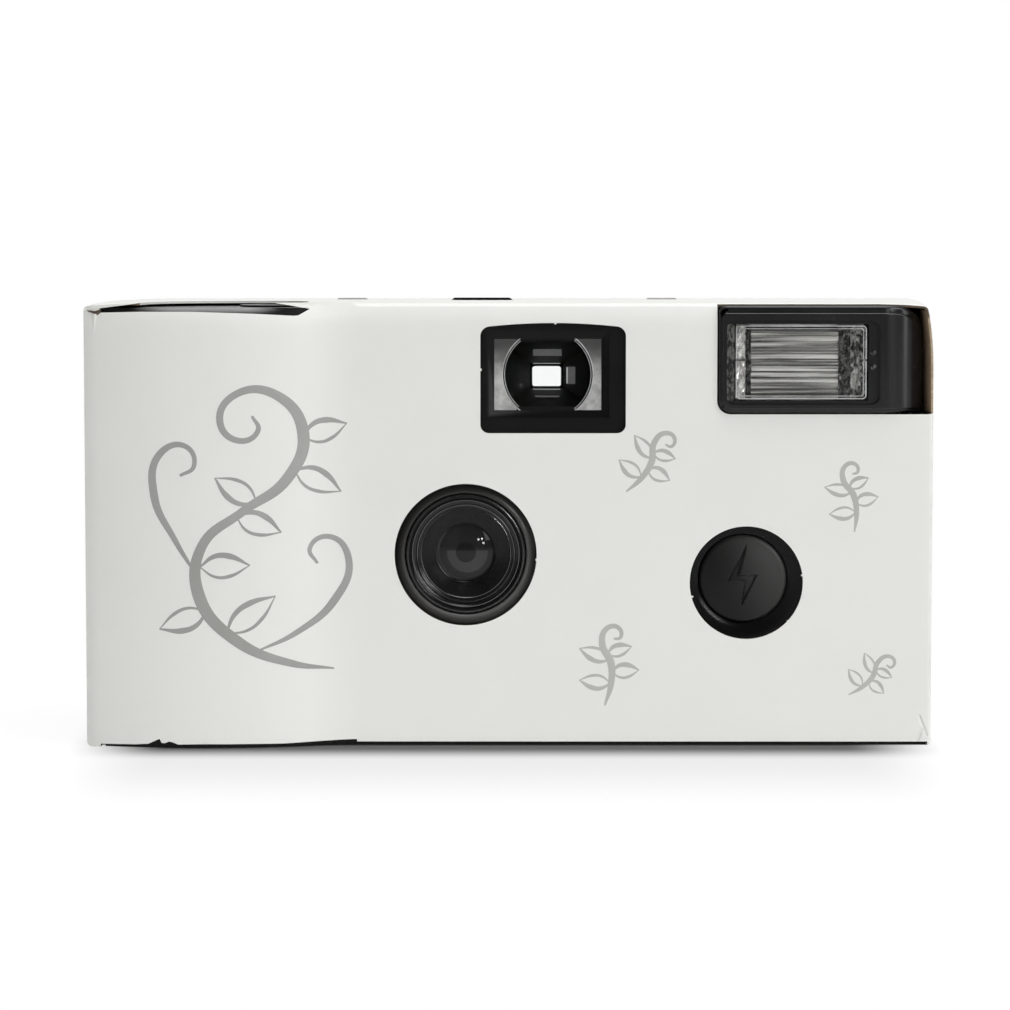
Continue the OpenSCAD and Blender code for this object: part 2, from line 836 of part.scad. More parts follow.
module light_box_hollow() {
    hull() {
        from_front([stage_y1 - 0.03, stage_y1 - 0.01])
            square_about([lens_x, film_z], [12 * grow_x, 10 * grow_z]);
        from_front([gate_y0, gate_y0 + 0.02])
            square_about([lens_x, film_z], picture);
    }
    from_front([gate_y0, gate_y1 + 1])
        square_about([lens_x, film_z], picture);
    pin(lens_x, lens_z, stop_r + 1.6, [stage_y0 - 1, stage_y1 + 1]);
}

// Plate with the picture window, and the web to the supply chamber
module film_gate() {
    block([cassette_x + chamber_r + 0.4, supply_x - supply_room - 1.1], [gate_y0, gate_y1],
          [film_z0 - 2.5, film_z1 + 2.5]);
    block([lens_x + 14.4 * grow_x, supply_x - supply_room - 0.4], [spine_y0 + 0.4, spine_y1 + 0.4],
          [battery_z0, film_z1]);
    block([supply_x - supply_room - 2.3, supply_x - supply_room - 1.1], [spine_y0 + 0.4, gate_y1],
          [film_z0 - 2.5, film_z1 + 2.5]);
}

// Deck that carries the advance wheel, the sprocket and the counter
module deck() {
    difference() {
        from_top([deck_z0, deck_z1]) {
            translate([cassette_x, cassette_y])
                circle(chamber_out);
            translate([cassette_x, stage_y1 - 0.2])
                square([counter_x + 3 - cassette_x, gate_y1 - stage_y1]);
        }
        block(notch_x(notch_wall + 0.2), [notch_y - notch_wall - 0.2, far], [0, far]);
        block([stem_x - 3, far], [-far, stage_y0], [0, far]);
    }
    post(counter_x, counter_y, counter_pin_r + 0.8, [deck_z0, counter_z0 - fit]);
    post(counter_x, counter_y, counter_pin_r, [deck_z0, counter_z0 + counter_gear_t + counter_plate_t]);
}

// Open trough behind the battery, with its spine
module battery_cradle() {
    difference() {
        post(battery_at[0], battery_at[1], cradle_out, [battery_z0 + 2, film_z1]);
        post(battery_at[0], battery_at[1], cradle_r, [0, far]);
        block([-far, far], [-far, battery_at[1]], [0, far]);
    }
    block(about(battery_at[0], spine_w / 2), [spine_y0, spine_y1],
          [cover_floor + 0.15, battery_z1 + 1.5]);
}

// Lower bearing of the sprocket
module sprocket_lug() {
    block(about(sprocket_x, sprocket_lug_half), [sprocket_y - sprocket_lug_half, gate_y0 + 0.2],
          [shaft_z0 - 0.8, sprocket_z0 - free]);
}

// Ways for the film out of both chambers
module film_way() {
    block([cassette_x + 1, lens_x - 24 * grow_x], [lip_y - 2.4, far], [cover_floor + 1, deck_z0 - 1]);
    block([supply_x - supply_out, supply_x + 1], [supply_y + roll_r - 1.9, far], [film_z0 - 0.6, far]);
    from_top([film_z0 - 0.5, film_z1 + 0.5])
        polygon([[lip_x1 - 3, lip_y - 0.45], [lip_x1 + 0.3, lip_y - 0.45], [lip_x1 + 6, film_y - 0.25],
                 [lip_x1 + 6, far], [lip_x1 - 3, far]]);
}

// Lens and shutter

module lens_retainer() {
    cone_y = retainer_y0 + 0.5;
    color("#161618")
        turned(lens_x, lens_z)
            polygon([[retainer_r, retainer_y0 + 0.3], [retainer_r, flange_y0], [flange_r, flange_y0],
                     [flange_r, flange_y1], [lens_r + fit, flange_y1], [lens_r + fit, seat_y],
                     [lens_free_r, seat_y], [lens_free_r, seat_y - 0.7], [6.1, cone_y + 0.5],
                     [6.1, cone_y], [7.2, cone_y], [7.2, retainer_y0], [retainer_r - 0.3, retainer_y0]]);
}

// Meniscus lens with a flat rim
module taking_lens() {
    front_sphere = 9;
    rear_sphere = 14;
    sag = front_sphere - sqrt(pow(front_sphere, 2) - pow(lens_free_r - fit, 2));
    hollow = 0.3;
    color("aliceblue")
        difference() {
            union() {
                pin(lens_x, lens_z, lens_r, [seat_y + fit, seat_y + lens_edge]);
                intersection() {
                    translate([lens_x, seat_y + fit - sag + front_sphere, lens_z])
                        sphere(front_sphere);
                    pin(lens_x, lens_z, lens_free_r - fit, [seat_y - 3, seat_y + 0.3]);
                }
            }
            translate([lens_x, seat_y + lens_edge + rear_sphere - hollow, lens_z])
                sphere(rear_sphere);
        }
}

module shutter_plate() {
    color("#202022")
        difference() {
            from_front([plate_y0, plate_y1])
                rounded_corners([stage_x0, stage_x1], [stage_z0 + 1, finder_z - 7.3 * grow_z], [2, 2, 2, 2]);
            pin(lens_x, lens_z, stop_r, [-far, far]);
            turned(lens_x, lens_z)
                polygon([[0, plate_y0 - 1], [stop_r + 1.5, plate_y0 - 1], [stop_r + 0.5, plate_y0],
                         [stop_r, plate_y0 + 0.5], [0, plate_y0 + 0.5]]);
        }
}

// Flat bar with one round end, from a pivot out along an angle
module flat_arm(at, angle, length, width) {
    translate(at)
        rotate(angle) {
            translate([0, -width / 2])
                square([length, width]);
            translate([length, 0])
                circle(width / 2);
        }
}

module shutter_blade() {
    disc_angle = atan2(lens_z - blade_pivot[1], lens_x - blade_pivot[0]);
    color("#3a3a3c")
        from_front([blade_y0, blade_y1])
            difference() {
                union() {
                    translate(blade_pivot)
                        circle(hub_out);
                    flat_arm(blade_pivot, disc_angle, blade_arm, 2);
                    translate([lens_x, lens_z])
                        circle(blade_r);
                    flat_arm(blade_pivot, tail_angle, tail_len - tail_w / 2, tail_w);
                }
                translate(blade_pivot)
                    circle(pin_r + run);
            }
}

// Hairpin spring of the shutter blade, flat on the stage
module shutter_spring() {
    eye = [blade_pivot[0] + 5.6, blade_pivot[1] + 7.4];
    eye_r = 1.2;
    color("silver")
        from_front([stage_y0 - blade_t, stage_y0]) {
            difference() {
                translate(eye)
                    circle(eye_r + 2 * wire_r);
                translate(eye)
                    circle(eye_r);
            }
            flat_arm(eye + [0, eye_r + wire_r], 20, 5, 2 * wire_r);
            flat_arm(eye + [0, -eye_r - wire_r], -15, 5, 2 * wire_r);
        }
}

// Bell crank that knocks the blade open: tip down, catch arm up, ear for its spring
module striker() {
    tip = striker_tip - striker_pivot;
    color("#b9b9bd") {
        from_front([blade_y0, blade_y1])
            difference() {
                union() {
                    translate(striker_pivot)
                        circle(hub_out);
                    flat_arm(striker_pivot, atan2(tip[1], tip[0]), norm(tip), arm_w);
                    flat_arm(striker_pivot, 90, striker_top - arm_w / 2, arm_w);
                    flat_arm(striker_pivot, 180, striker_ear, arm_w - 0.4);
                }
                translate(striker_pivot)
                    circle(pin_r + run);
            }
        pin(spring_x, striker_pivot[1], 0.5, [spring_y - spring_r, blade_y1]);
    }
}

// Coil wound from a ring sector, so that its wire is as high as it is thick
module striker_spring() {
    pitch = (spring_z1 - spring_z0) / spring_turns;
    sector = 360 * 2 * wire_r / pitch;
    inner_r = spring_r - 2 * wire_r;
    steps = 5;
    angles = [for (i = [0 : steps]) sector * (i / steps - 0.5)];
    outer = [for (a = angles) spring_r * [cos(a), sin(a)]];
    inner = [for (i = [steps : -1 : 0]) inner_r * [cos(angles[i]), sin(angles[i])]];
    color("silver")
        translate([spring_x, spring_y, spring_z0])
            linear_extrude(height = spring_z1 - spring_z0, twist = -360 * spring_turns,
                           slices = 14 * spring_turns, $fn = 8)
                polygon(concat(outer, inner));
}

// Rocking lever from the button's stem to the striker's catch
module release_lever() {
    color("#b9b9bd")
        from_front([lever_y0, lever_y1])
            difference() {
                union() {
                    translate([lever_x, lever_z])
                        circle(hub_out);
                    translate([stem_x - lever_tail, lever_z - lever_half])
                        square([catch_x + catch_w - stem_x + lever_tail, 2 * lever_half]);
                    translate([catch_x, catch_z])
                        square([catch_w, lever_z - catch_z]);
                }
                translate([lever_x, lever_z])
                    circle(pin_r + run);
            }
}

module shutter_button() {
    dish_r = 24;
    dish = 0.35;
    color("#202022")
        difference() {
            union() {
                post(release_x, release_y, release_r, [cover_top_in - 0.3, release_top]);
                post(release_x, release_y, release_r + 0.8,
                     [cover_top_in - fit / 2 - release_flange_t, cover_top_in - fit / 2]);
                post(stem_x, stem_y, stem_r, [stem_z0 + 1.2, cover_top_in - 0.3]);
                post(stem_x, stem_y, stem_tip_r, [stem_z0, cover_top_in - 0.3]);
            }
            translate([release_x, release_y, release_top - dish + dish_r])
                sphere(dish_r);
        }
}

// Thin contact strip beside the shutter, with its bent end
module sync_contact() {
    color("goldenrod")
        from_side([stage_x1 - 1.8, stage_x1 - 0.1])
            polygon([[stage_y0 - contact_t, lens_z + 1], [stage_y0, lens_z + 1], [stage_y0, lens_z + 13],
                     [stage_y0 - 0.6, lens_z + 15], [stage_y0 - 0.6 - contact_t, lens_z + 15],
                     [stage_y0 - contact_t, lens_z + 13]]);
}

// Viewfinder

// Clear plate with a hollow dimple, held behind the frame
module viewfinder_front_lens() {
    sag = dimple_sphere - sqrt(pow(dimple_sphere, 2) - pow(dimple_r, 2));
    color("azure")
        difference() {
            union() {
                from_front([finder_plate_y0, finder_plate_y1])
                    square_about([finder_x, finder_z], finder_free + 2 * [plate_lap, plate_lap]);
                from_front([cover_front + 0.95, finder_plate_y0 + 0.1])
                    square_about([finder_x, finder_z], finder_free - [fit, fit]);
            }
            translate([finder_x, cover_front + 0.95 + sag - dimple_sphere, finder_z])
                sphere(dimple_sphere);
        }
}

// Tapering tunnel between the two lenses
module viewfinder_tunnel() {
    color("#161618")
        difference() {
            finder_taper(finder_wall, 0);
            finder_taper(0, 1);
        }
}

// Taper of the tunnel, grown sideways and past its ends
module finder_taper(grow, past) {
    wide = finder_free - [0.4, 0.4] + 2 * [grow, grow];
    narrow = eyepiece_free + [0.6, 0.6] + 2 * [grow, grow];
    slope = (narrow - wide) / (finder_y1 - finder_y0);
    hull() {
        from_front([finder_y0 - past, finder_y0 - past + 0.01])
            square_about([finder_x, finder_z], wide - past * slope);
        from_front([finder_y1 + past - 0.01, finder_y1 + past])
            square_about([finder_x, finder_z], narrow + past * slope);
    }
}

module viewfinder_eyepiece() {
    bulge_sphere = 12;
    bulge = 0.5;
    color("azure") {
        from_front([eyepiece_y0, eyepiece_y1])
            square_about([finder_x, finder_z], eyepiece_free + [2, 2]);
        intersection() {
            translate([finder_x, eyepiece_y1 + bulge - bulge_sphere, finder_z])
                sphere(bulge_sphere);
            from_front([eyepiece_y1 - 0.1, cover_back])
                square_about([finder_x, finder_z], eyepiece_free - [0.4, 0.4]);
        }
    }
}

// Flash

// Clear window with fine ribs on its inner face
module flash_window() {
    rib_count = 10;
    rib_pitch = (window_size[1] - 1.4) / rib_count;
    rib_r = rib_pitch / 2;
    color("whitesmoke") {
        from_front([window_front, window_back + 0.1])
            rounded_about(window_at, window_size, 0.5);
        difference() {
            from_front([window_back, window_back + window_flange_t])
                square_about(window_at, window_size + 2 * [window_lap, window_lap]);
            for (i = [0 : rib_count - 1])
                rod(window_back + window_flange_t + 0.25,
                    window_at[1] + (i - (rib_count - 1) / 2) * rib_pitch, rib_r,
                    about(window_at[0], window_size[0] / 3));
        }
    }
}

// Bright trough with closed ends
module flash_reflector() {
    out = reflector_r + reflector_t;
    ends = about(window_at[0], reflector_half);
    color("silver")
        difference() {
            intersection() {
                rod(reflector_y0, window_at[1], out, ends);
                block(ends, [reflector_y0, far], [0, far]);
            }
            rod(reflector_y0, window_at[1], reflector_r, ends + [reflector_t, -reflector_t]);
            rod(tube_y, window_at[1], tube_r + fit, ends + [-1, 1]);
        }
}

module flash_tube() {
    ends = about(window_at[0], reflector_half + tube_reach);
    color("honeydew") {
        rod(tube_y, window_at[1], tube_r, ends);
        rod(tube_y, window_at[1], 0.4, ends + [-1, 1]);
    }
}

module circuit_board() {
    color("darkolivegreen")
        from_front([board_y0, board_y1])
            rounded_corners([board_x0, board_x1], [board_z0, board_z1], [0.6, 0.6, 2, 0.6]);
}

module flash_capacitor() {
    z0 = board_z0 + 2;
    groove_z = z0 + capacitor_size[1] - 2.4;
    color("#27272b")
        difference() {
            post(capacitor_x, capacitor_y, capacitor_size[0], [z0, z0 + capacitor_size[1]]);
            translate([capacitor_x, capacitor_y, groove_z])
                rotate_extrude()
                    translate([capacitor_size[0] + 0.2, 0])
                        circle(0.6);
        }
}

// Two-part core with its winding
module flash_transformer() {
    x = board_x1 - 8 * grow_x;
    z = lens_z + 2 * grow_z;
    y = [board_y0 - 3.4, board_y0];
    color("peru") {
        block([x, x + 7], y, [z, z + 1.8]);
        block([x, x + 7], y, [z + 7.2, z + 9]);
        block([x + 0.6, x + 6.4], y + [0.4, 0], [z + 1.8, z + 7.2]);
    }
}

module trigger_coil() {
    x = board_x1 - 7.6;
    z = board_z1 - 6 * grow_z;
    color("darkgoldenrod") {
        rod(board_y0 - 1.6, z, 1.6, [x, x + 6]);
        for (end = [x - 0.6, x + 6])
            rod(board_y0 - 1.6, z, 1.6, [end, end + 0.6]);
    }
}

// Snap dome that the flash button presses
module flash_switch_dome() {
    color("silver")
        pin(button_at[0], button_at[1], 2, [board_y0 - dome_t, board_y0]);
}

module flash_button() {
    stem_end = board_y0 - dome_t - button_travel - 0.2;
    flange_y = cover_front_in + fit;
    color("#202022") {
        turned(button_at[0], button_at[1]) {
            difference() {
                translate([0, button_front])
                    square([button_skirt_r, flange_y + button_flange_t - button_front]);
                corner_waste(button_skirt_r, button_front, [-1, 1], button_round);
            }
            translate([0, flange_y])
                square([button_flange_r, button_flange_t]);
        }
        pin(button_at[0], button_at[1], 2, [flange_y, stem_end]);
    }
}

// Ready lamp beside the eyepiece
lamp_r = 1.4;
lamp_x = finder_x + 9.5 * grow_x;
lamp_z = finder_z;

module ready_lamp() {
    color("orangered") {
        pin(lamp_x, lamp_z, lamp_r, [cover_back_in - 2, cover_back - 0.3]);
        pin(lamp_x, lamp_z, lamp_r + 0.6, [cover_back_in - 1.2, cover_back_in - fit]);
    }
}

// Battery

module battery() {
    color("#6e6e72") {
        post(battery_at[0], battery_at[1], battery_r, [battery_z0, battery_z1 - nub_h]);
        post(battery_at[0], battery_at[1], nub_r, [battery_z1 - nub_h - 0.1, battery_z1]);
    }
}

module battery_contact_plus() {
    z = battery_z1 + fit;
    color("gold")
        from_side(about(battery_at[0], spine_w / 2))
            polygon([[spine_y0, z - 5], [spine_y0, z + contact_t], [battery_at[1] - nub_r, z + contact_t],
                     [battery_at[1] - nub_r, z], [spine_y0 - contact_t, z], [spine_y0 - contact_t, z - 5]]);
}

// Folded leaf that pushes the battery up
module battery_contact_minus() {
    z = battery_z0 - fit;
    z0 = cover_floor + fit;
    y0 = battery_at[1];
    color("gold")
        from_side(about(battery_at[0], spine_w / 2))
            polygon([[spine_y0, z0], [spine_y0, z + 1.7], [spine_y0 - contact_t, z + 1.7],
                     [spine_y0 - contact_t, z0 + contact_t], [y0 - 4, z0 + contact_t], [y0 + 1, z - contact_t],
                     [y0 + 3, z - contact_t], [y0 + 3, z], [y0 + 0.6, z], [y0 - 5, z0 + contact_t],
                     [y0 - 5, z0]]);
}

// Cassette and film

module cassette_shell() {
    z = [cassette_z0 + cap_t + 0.05, cassette_z1 - cap_t - 0.05];
    lip_z = [cassette_z0 + cap_t + cap_rim + free, cassette_z1 - cap_t - cap_rim - free];
    color("#8f9094")
        difference() {
            union() {
                post(cassette_x, cassette_y, cassette_r, z);
                block([cassette_x + 3, lip_x1], about(lip_y, lip_half), lip_z);
            }
            post(cassette_x, cassette_y, cassette_r - shell_wall, z + [-1, 1]);
            block([cassette_x + 3, lip_x1 + 1], about(lip_y, slit_half),
                  [film_z0 - 0.2, film_z1 + 0.2]);
        }
}

module cassette_caps() {
    color("#5d5e62")
        for (end = [0, 1]) {
            z = end ? [cassette_z1 - cap_t - cap_rim, cassette_z1] : [cassette_z0, cassette_z0 + cap_t + cap_rim];
            room = end ? [z[0] - 1, z[1] - cap_t] : [z[0] + cap_t, z[1] + 1];
            difference() {
                post(cassette_x, cassette_y, cap_r, z);
                post(cassette_x, cassette_y, cassette_r + 0.05, room);
                post(cassette_x, cassette_y, spool_end_r + free, z + [-1, 1]);
            }
        }
}

module cassette_spool() {
    flange_r = cassette_r - shell_wall - 1;
    flange_gap = 1.6;
    color("#1c1c1e") {
        difference() {
            union() {
                post(cassette_x, cassette_y, spool_end_r, [spool_bottom, spool_top]);
                post(cassette_x, cassette_y, spool_core_r, [cassette_z0 + flange_gap, cassette_z1 - flange_gap]);
                for (z = [cassette_z0 + flange_gap, cassette_z1 - flange_gap - 1])
                    post(cassette_x, cassette_y, flange_r, [z, z + 1]);
            }
            post(cassette_x, cassette_y, spool_bore_r, [0, far]);
        }
        block(about(cassette_x, spool_bore_r + 0.5),
              about(cassette_y, spool_bar / 2), [spool_top - fork_depth, spool_top - 1]);
    }
}

// Film from the cassette's lip over the gate to the roll
film_path = [[lip_x1 - 2.5, lip_y], [lip_x1 + 0.2, lip_y], [lip_x1 + 5.7, film_y],
             [supply_x - 14 * grow_x, film_y], [supply_x - 1.5, film_y - 0.6]];

module film_strip() {
    half = [0, film_t / 2];
    front = [for (p = film_path) p - half];
    rear = [for (i = [len(film_path) - 1 : -1 : 0]) film_path[i] + half];
    slot = sprocket_r + tooth_h + free;
    rows = [perf_z, -perf_z];
    count = floor((supply_x - 4 - lip_x1) / perf_pitch);
    color("saddlebrown")
        difference() {
            from_top([film_z0, film_z1])
                polygon(concat(front, rear));
            for (row = rows, i = [0 : count - 1])
                from_front([0, far])
                    square_about([lip_x1 + 1.6 + (i + 0.5) * perf_pitch, film_z + row], perf_size);
            block([sprocket_x - slot, sprocket_x + slot], [lip_y - 1, far],
                  [sprocket_z0 - free, sprocket_z0 + sprocket_t + free]);
        }
}

module supply_spool() {
    flange_gap = 0.6;
    color("#1c1c1e")
        difference() {
            union() {
                post(supply_x, supply_y, supply_core_r, [film_z0 - flange_gap - 0.8, film_z1 + flange_gap + 0.8]);
                for (z = [film_z0 - flange_gap - 0.8, film_z1 + flange_gap])
                    post(supply_x, supply_y, roll_r, [z, z + 0.8]);
            }
            post(supply_x, supply_y, shaft_r + run, [0, film_z0 + 5]);
            post(supply_x, supply_y, shaft_r + 1, [film_z0 + 5, far]);
        }
}

module film_roll() {
    color("saddlebrown")
        difference() {
            post(supply_x, supply_y, roll_r - 0.3, [film_z0, film_z1]);
            post(supply_x, supply_y, supply_core_r + 0.05, [0, far]);
        }
}

// Film advance

// Ribbed wheel with its hub and the fork for the spool
module advance_wheel() {
    rib_r = 0.45;
    color("#202022")
        difference() {
            union() {
                post(cassette_x, cassette_y, wheel_r, [wheel_z0, wheel_z1]);
                post(cassette_x, cassette_y, hub_r, [deck_z0 + 0.2, wheel_z0 + 0.2]);
                post(cassette_x, cassette_y, fork_r, [spool_top - fork_depth + 0.3, wheel_z0]);
            }
            for (i = [0 : wheel_ribs - 1])
                rotate_about(i * 360 / wheel_ribs)
                    post(cassette_x + wheel_r + 0.1, cassette_y, rib_r, [wheel_z0 - 1, wheel_z1 + 1]);
            difference() {
                post(cassette_x, cassette_y, wheel_r - 2, [wheel_z1 - 1.6, far]);
                post(cassette_x, cassette_y, hub_r, [0, far]);
            }
            block(about(cassette_x, fork_r + 1), about(cassette_y, fork_slot / 2),
                  [0, spool_top - 0.7]);
        }
}

// Turn about the cassette's axis
module rotate_about(angle) {
    translate([cassette_x, cassette_y, 0])
        rotate(angle)
            translate([-cassette_x, -cassette_y, 0])
                children();
}

// Spring finger whose nose lies just off the wheel's ribs
module ratchet_pawl() {
    nose_y = cassette_y + 2.2;
    nose_x = cassette_x + sqrt(pow(wheel_r + free, 2) - pow(2.2, 2));
    arm_x = nose_x + 2.6;
    base_y = stage_y1 + 1.05;
    color("#2a2a2d") {
        from_top([wheel_z0 + 0.6, wheel_z1 - 1])
            polygon([[arm_x, base_y + 1], [arm_x + 0.6, base_y + 1], [arm_x + 0.6, nose_y + 0.8],
                     [arm_x - 0.4, nose_y + 0.8], [nose_x, nose_y], [arm_x, nose_y - 0.9]]);
        block([arm_x - 0.5, arm_x + 1.5], [base_y - 1, base_y + 1.2], [deck_z1, wheel_z1 - 1]);
    }
}

// Toothed drum on its shaft, with the finger that steps the counter
module sprocket() {
    finger_z = [counter_z0, counter_z0 + counter_gear_t];
    color("#d8d8d4") {
        post(sprocket_x, sprocket_y, shaft_r, [shaft_z0, finger_z[1] + 0.4]);
        post(sprocket_x, sprocket_y, sprocket_r, [sprocket_z0, sprocket_z0 + sprocket_t]);
        translate([sprocket_x, sprocket_y, 0])
            for (i = [0 : sprocket_teeth - 1])
                rotate(90 + i * 360 / sprocket_teeth)
                    block([sprocket_r - 0.5, sprocket_r + tooth_h], [-tooth_w / 2, tooth_w / 2],
                          [sprocket_z0 + 0.4, sprocket_z0 + sprocket_t - 0.4]);
        translate([sprocket_x, sprocket_y, 0])
            rotate(120)
                block([0, finger_r], [-0.8, 0.8], finger_z);
    }
}

module counter_disc() {
    plate_z = counter_z0 + counter_gear_t;
    color("ivory")
        difference() {
            union() {
                post(counter_x, counter_y, counter_root_r, [counter_z0, plate_z]);
                translate([counter_x, counter_y, 0])
                    for (i = [0 : counter_teeth - 1])
                        rotate(i * 360 / counter_teeth)
                            block([counter_root_r - 0.3, counter_r - 0.05], [-0.4, 0.4], [counter_z0, plate_z]);
                post(counter_x, counter_y, counter_r, [plate_z, plate_z + counter_plate_t]);
            }
            post(counter_x, counter_y, counter_pin_r + run, [0, far]);
        }
}

// Clear magnifier over the counter's numbers
module counter_window() {
    lens_sphere = 7;
    bulge = 0.4;
    color("azure") {
        post(counter_window_x, counter_y, counter_window_r, [cover_top_in - 0.4, cover_top - bulge]);
        post(counter_window_x, counter_y, counter_window_r + 0.7, [cover_top_in - 0.9, cover_top_in - fit / 2]);
        intersection() {
            translate([counter_window_x, counter_y, cover_top - lens_sphere])
                sphere(lens_sphere);
            post(counter_window_x, counter_y, counter_window_r, [cover_top - bulge - 0.1, cover_top]);
        }
    }
}

card_sleeve();
front_cover();
rear_cover();
chassis();
cassette_door();
lens_retainer();
taking_lens();
shutter_plate();
shutter_blade();
shutter_spring();
striker();
striker_spring();
release_lever();
shutter_button();
viewfinder_front_lens();
viewfinder_tunnel();
viewfinder_eyepiece();
flash_window();
flash_reflector();
flash_tube();
circuit_board();
flash_capacitor();
flash_transformer();
trigger_coil();
flash_switch_dome();
flash_button();
sync_contact();
ready_lamp();
battery();
battery_contact_plus();
battery_contact_minus();
cassette_shell();
cassette_caps();
cassette_spool();
advance_wheel();
ratchet_pawl();
sprocket();
counter_disc();
counter_window();
film_strip();
supply_spool();
film_roll();
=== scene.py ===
"""Looks of a single-use film camera in a folded card sleeve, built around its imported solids."""

from __future__ import annotations

import logging
import math
from collections.abc import Callable, Sequence
from dataclasses import dataclass, field
from enum import Enum

import bmesh
import bpy
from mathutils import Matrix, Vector

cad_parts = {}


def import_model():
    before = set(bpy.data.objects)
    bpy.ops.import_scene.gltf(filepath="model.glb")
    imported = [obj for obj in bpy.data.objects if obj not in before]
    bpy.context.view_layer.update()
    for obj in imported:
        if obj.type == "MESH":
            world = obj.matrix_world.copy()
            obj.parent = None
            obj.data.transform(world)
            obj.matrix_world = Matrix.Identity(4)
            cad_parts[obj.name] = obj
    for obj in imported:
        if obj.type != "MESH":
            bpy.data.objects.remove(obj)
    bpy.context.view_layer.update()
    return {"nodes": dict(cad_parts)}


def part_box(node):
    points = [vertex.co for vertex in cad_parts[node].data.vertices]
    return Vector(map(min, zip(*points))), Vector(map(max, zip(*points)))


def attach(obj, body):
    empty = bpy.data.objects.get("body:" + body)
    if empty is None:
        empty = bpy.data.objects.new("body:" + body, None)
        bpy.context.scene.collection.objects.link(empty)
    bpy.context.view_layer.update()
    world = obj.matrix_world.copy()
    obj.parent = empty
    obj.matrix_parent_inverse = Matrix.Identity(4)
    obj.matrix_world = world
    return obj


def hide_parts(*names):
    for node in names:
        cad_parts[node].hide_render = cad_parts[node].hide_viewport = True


MM = 0.001
LOG = logging.getLogger("film_camera")
Point = tuple[float, float, float]
Pair = tuple[float, float]
Colour = tuple[float, float, float]
Span = tuple[float, float, float, float]
Wanted = Callable[[Vector, Vector], bool]
LENS_AXIS = (-5.6, 26.0)


class Value:
    """A shader socket that takes part in sums."""

    def __init__(self, shader: Shader, socket: bpy.types.NodeSocket) -> None:
        """Keep the socket and the shader it belongs to."""
        self.shader = shader
        self.socket = socket

    def _sum(self, operation: str, first: Value | float, second: Value | float) -> Value:
        """Add one Math node."""
        return self.shader.node("ShaderNodeMath", {"operation": operation}, {0: first, 1: second})

    def __add__(self, other: Value | float) -> Value:
        """Give self + other."""
        return self._sum("ADD", self, other)

    def __radd__(self, other: float) -> Value:
        """Give other + self."""
        return self._sum("ADD", other, self)

    def __sub__(self, other: Value | float) -> Value:
        """Give self - other."""
        return self._sum("SUBTRACT", self, other)

    def __rsub__(self, other: float) -> Value:
        """Give other - self."""
        return self._sum("SUBTRACT", other, self)

    def __mul__(self, other: Value | float) -> Value:
        """Give self * other."""
        return self._sum("MULTIPLY", self, other)

    def __truediv__(self, other: Value | float) -> Value:
        """Give self / other."""
        return self._sum("DIVIDE", self, other)

    def __pow__(self, other: Value | float) -> Value:
        """Give self to a power."""
        return self._sum("POWER", self, other)

    def __abs__(self) -> Value:
        """Give the size of self without its sign."""
        return self._sum("ABSOLUTE", self, 0.0)

    def least(self, other: Value | float) -> Value:
        """Give the smaller of self and other."""
        return self._sum("MINIMUM", self, other)

    def most(self, other: Value | float) -> Value:
        """Give the larger of self and other."""
        return self._sum("MAXIMUM", self, other)

    def sine(self) -> Value:
        """Give the sine of self."""
        return self._sum("SINE", self, 0.0)


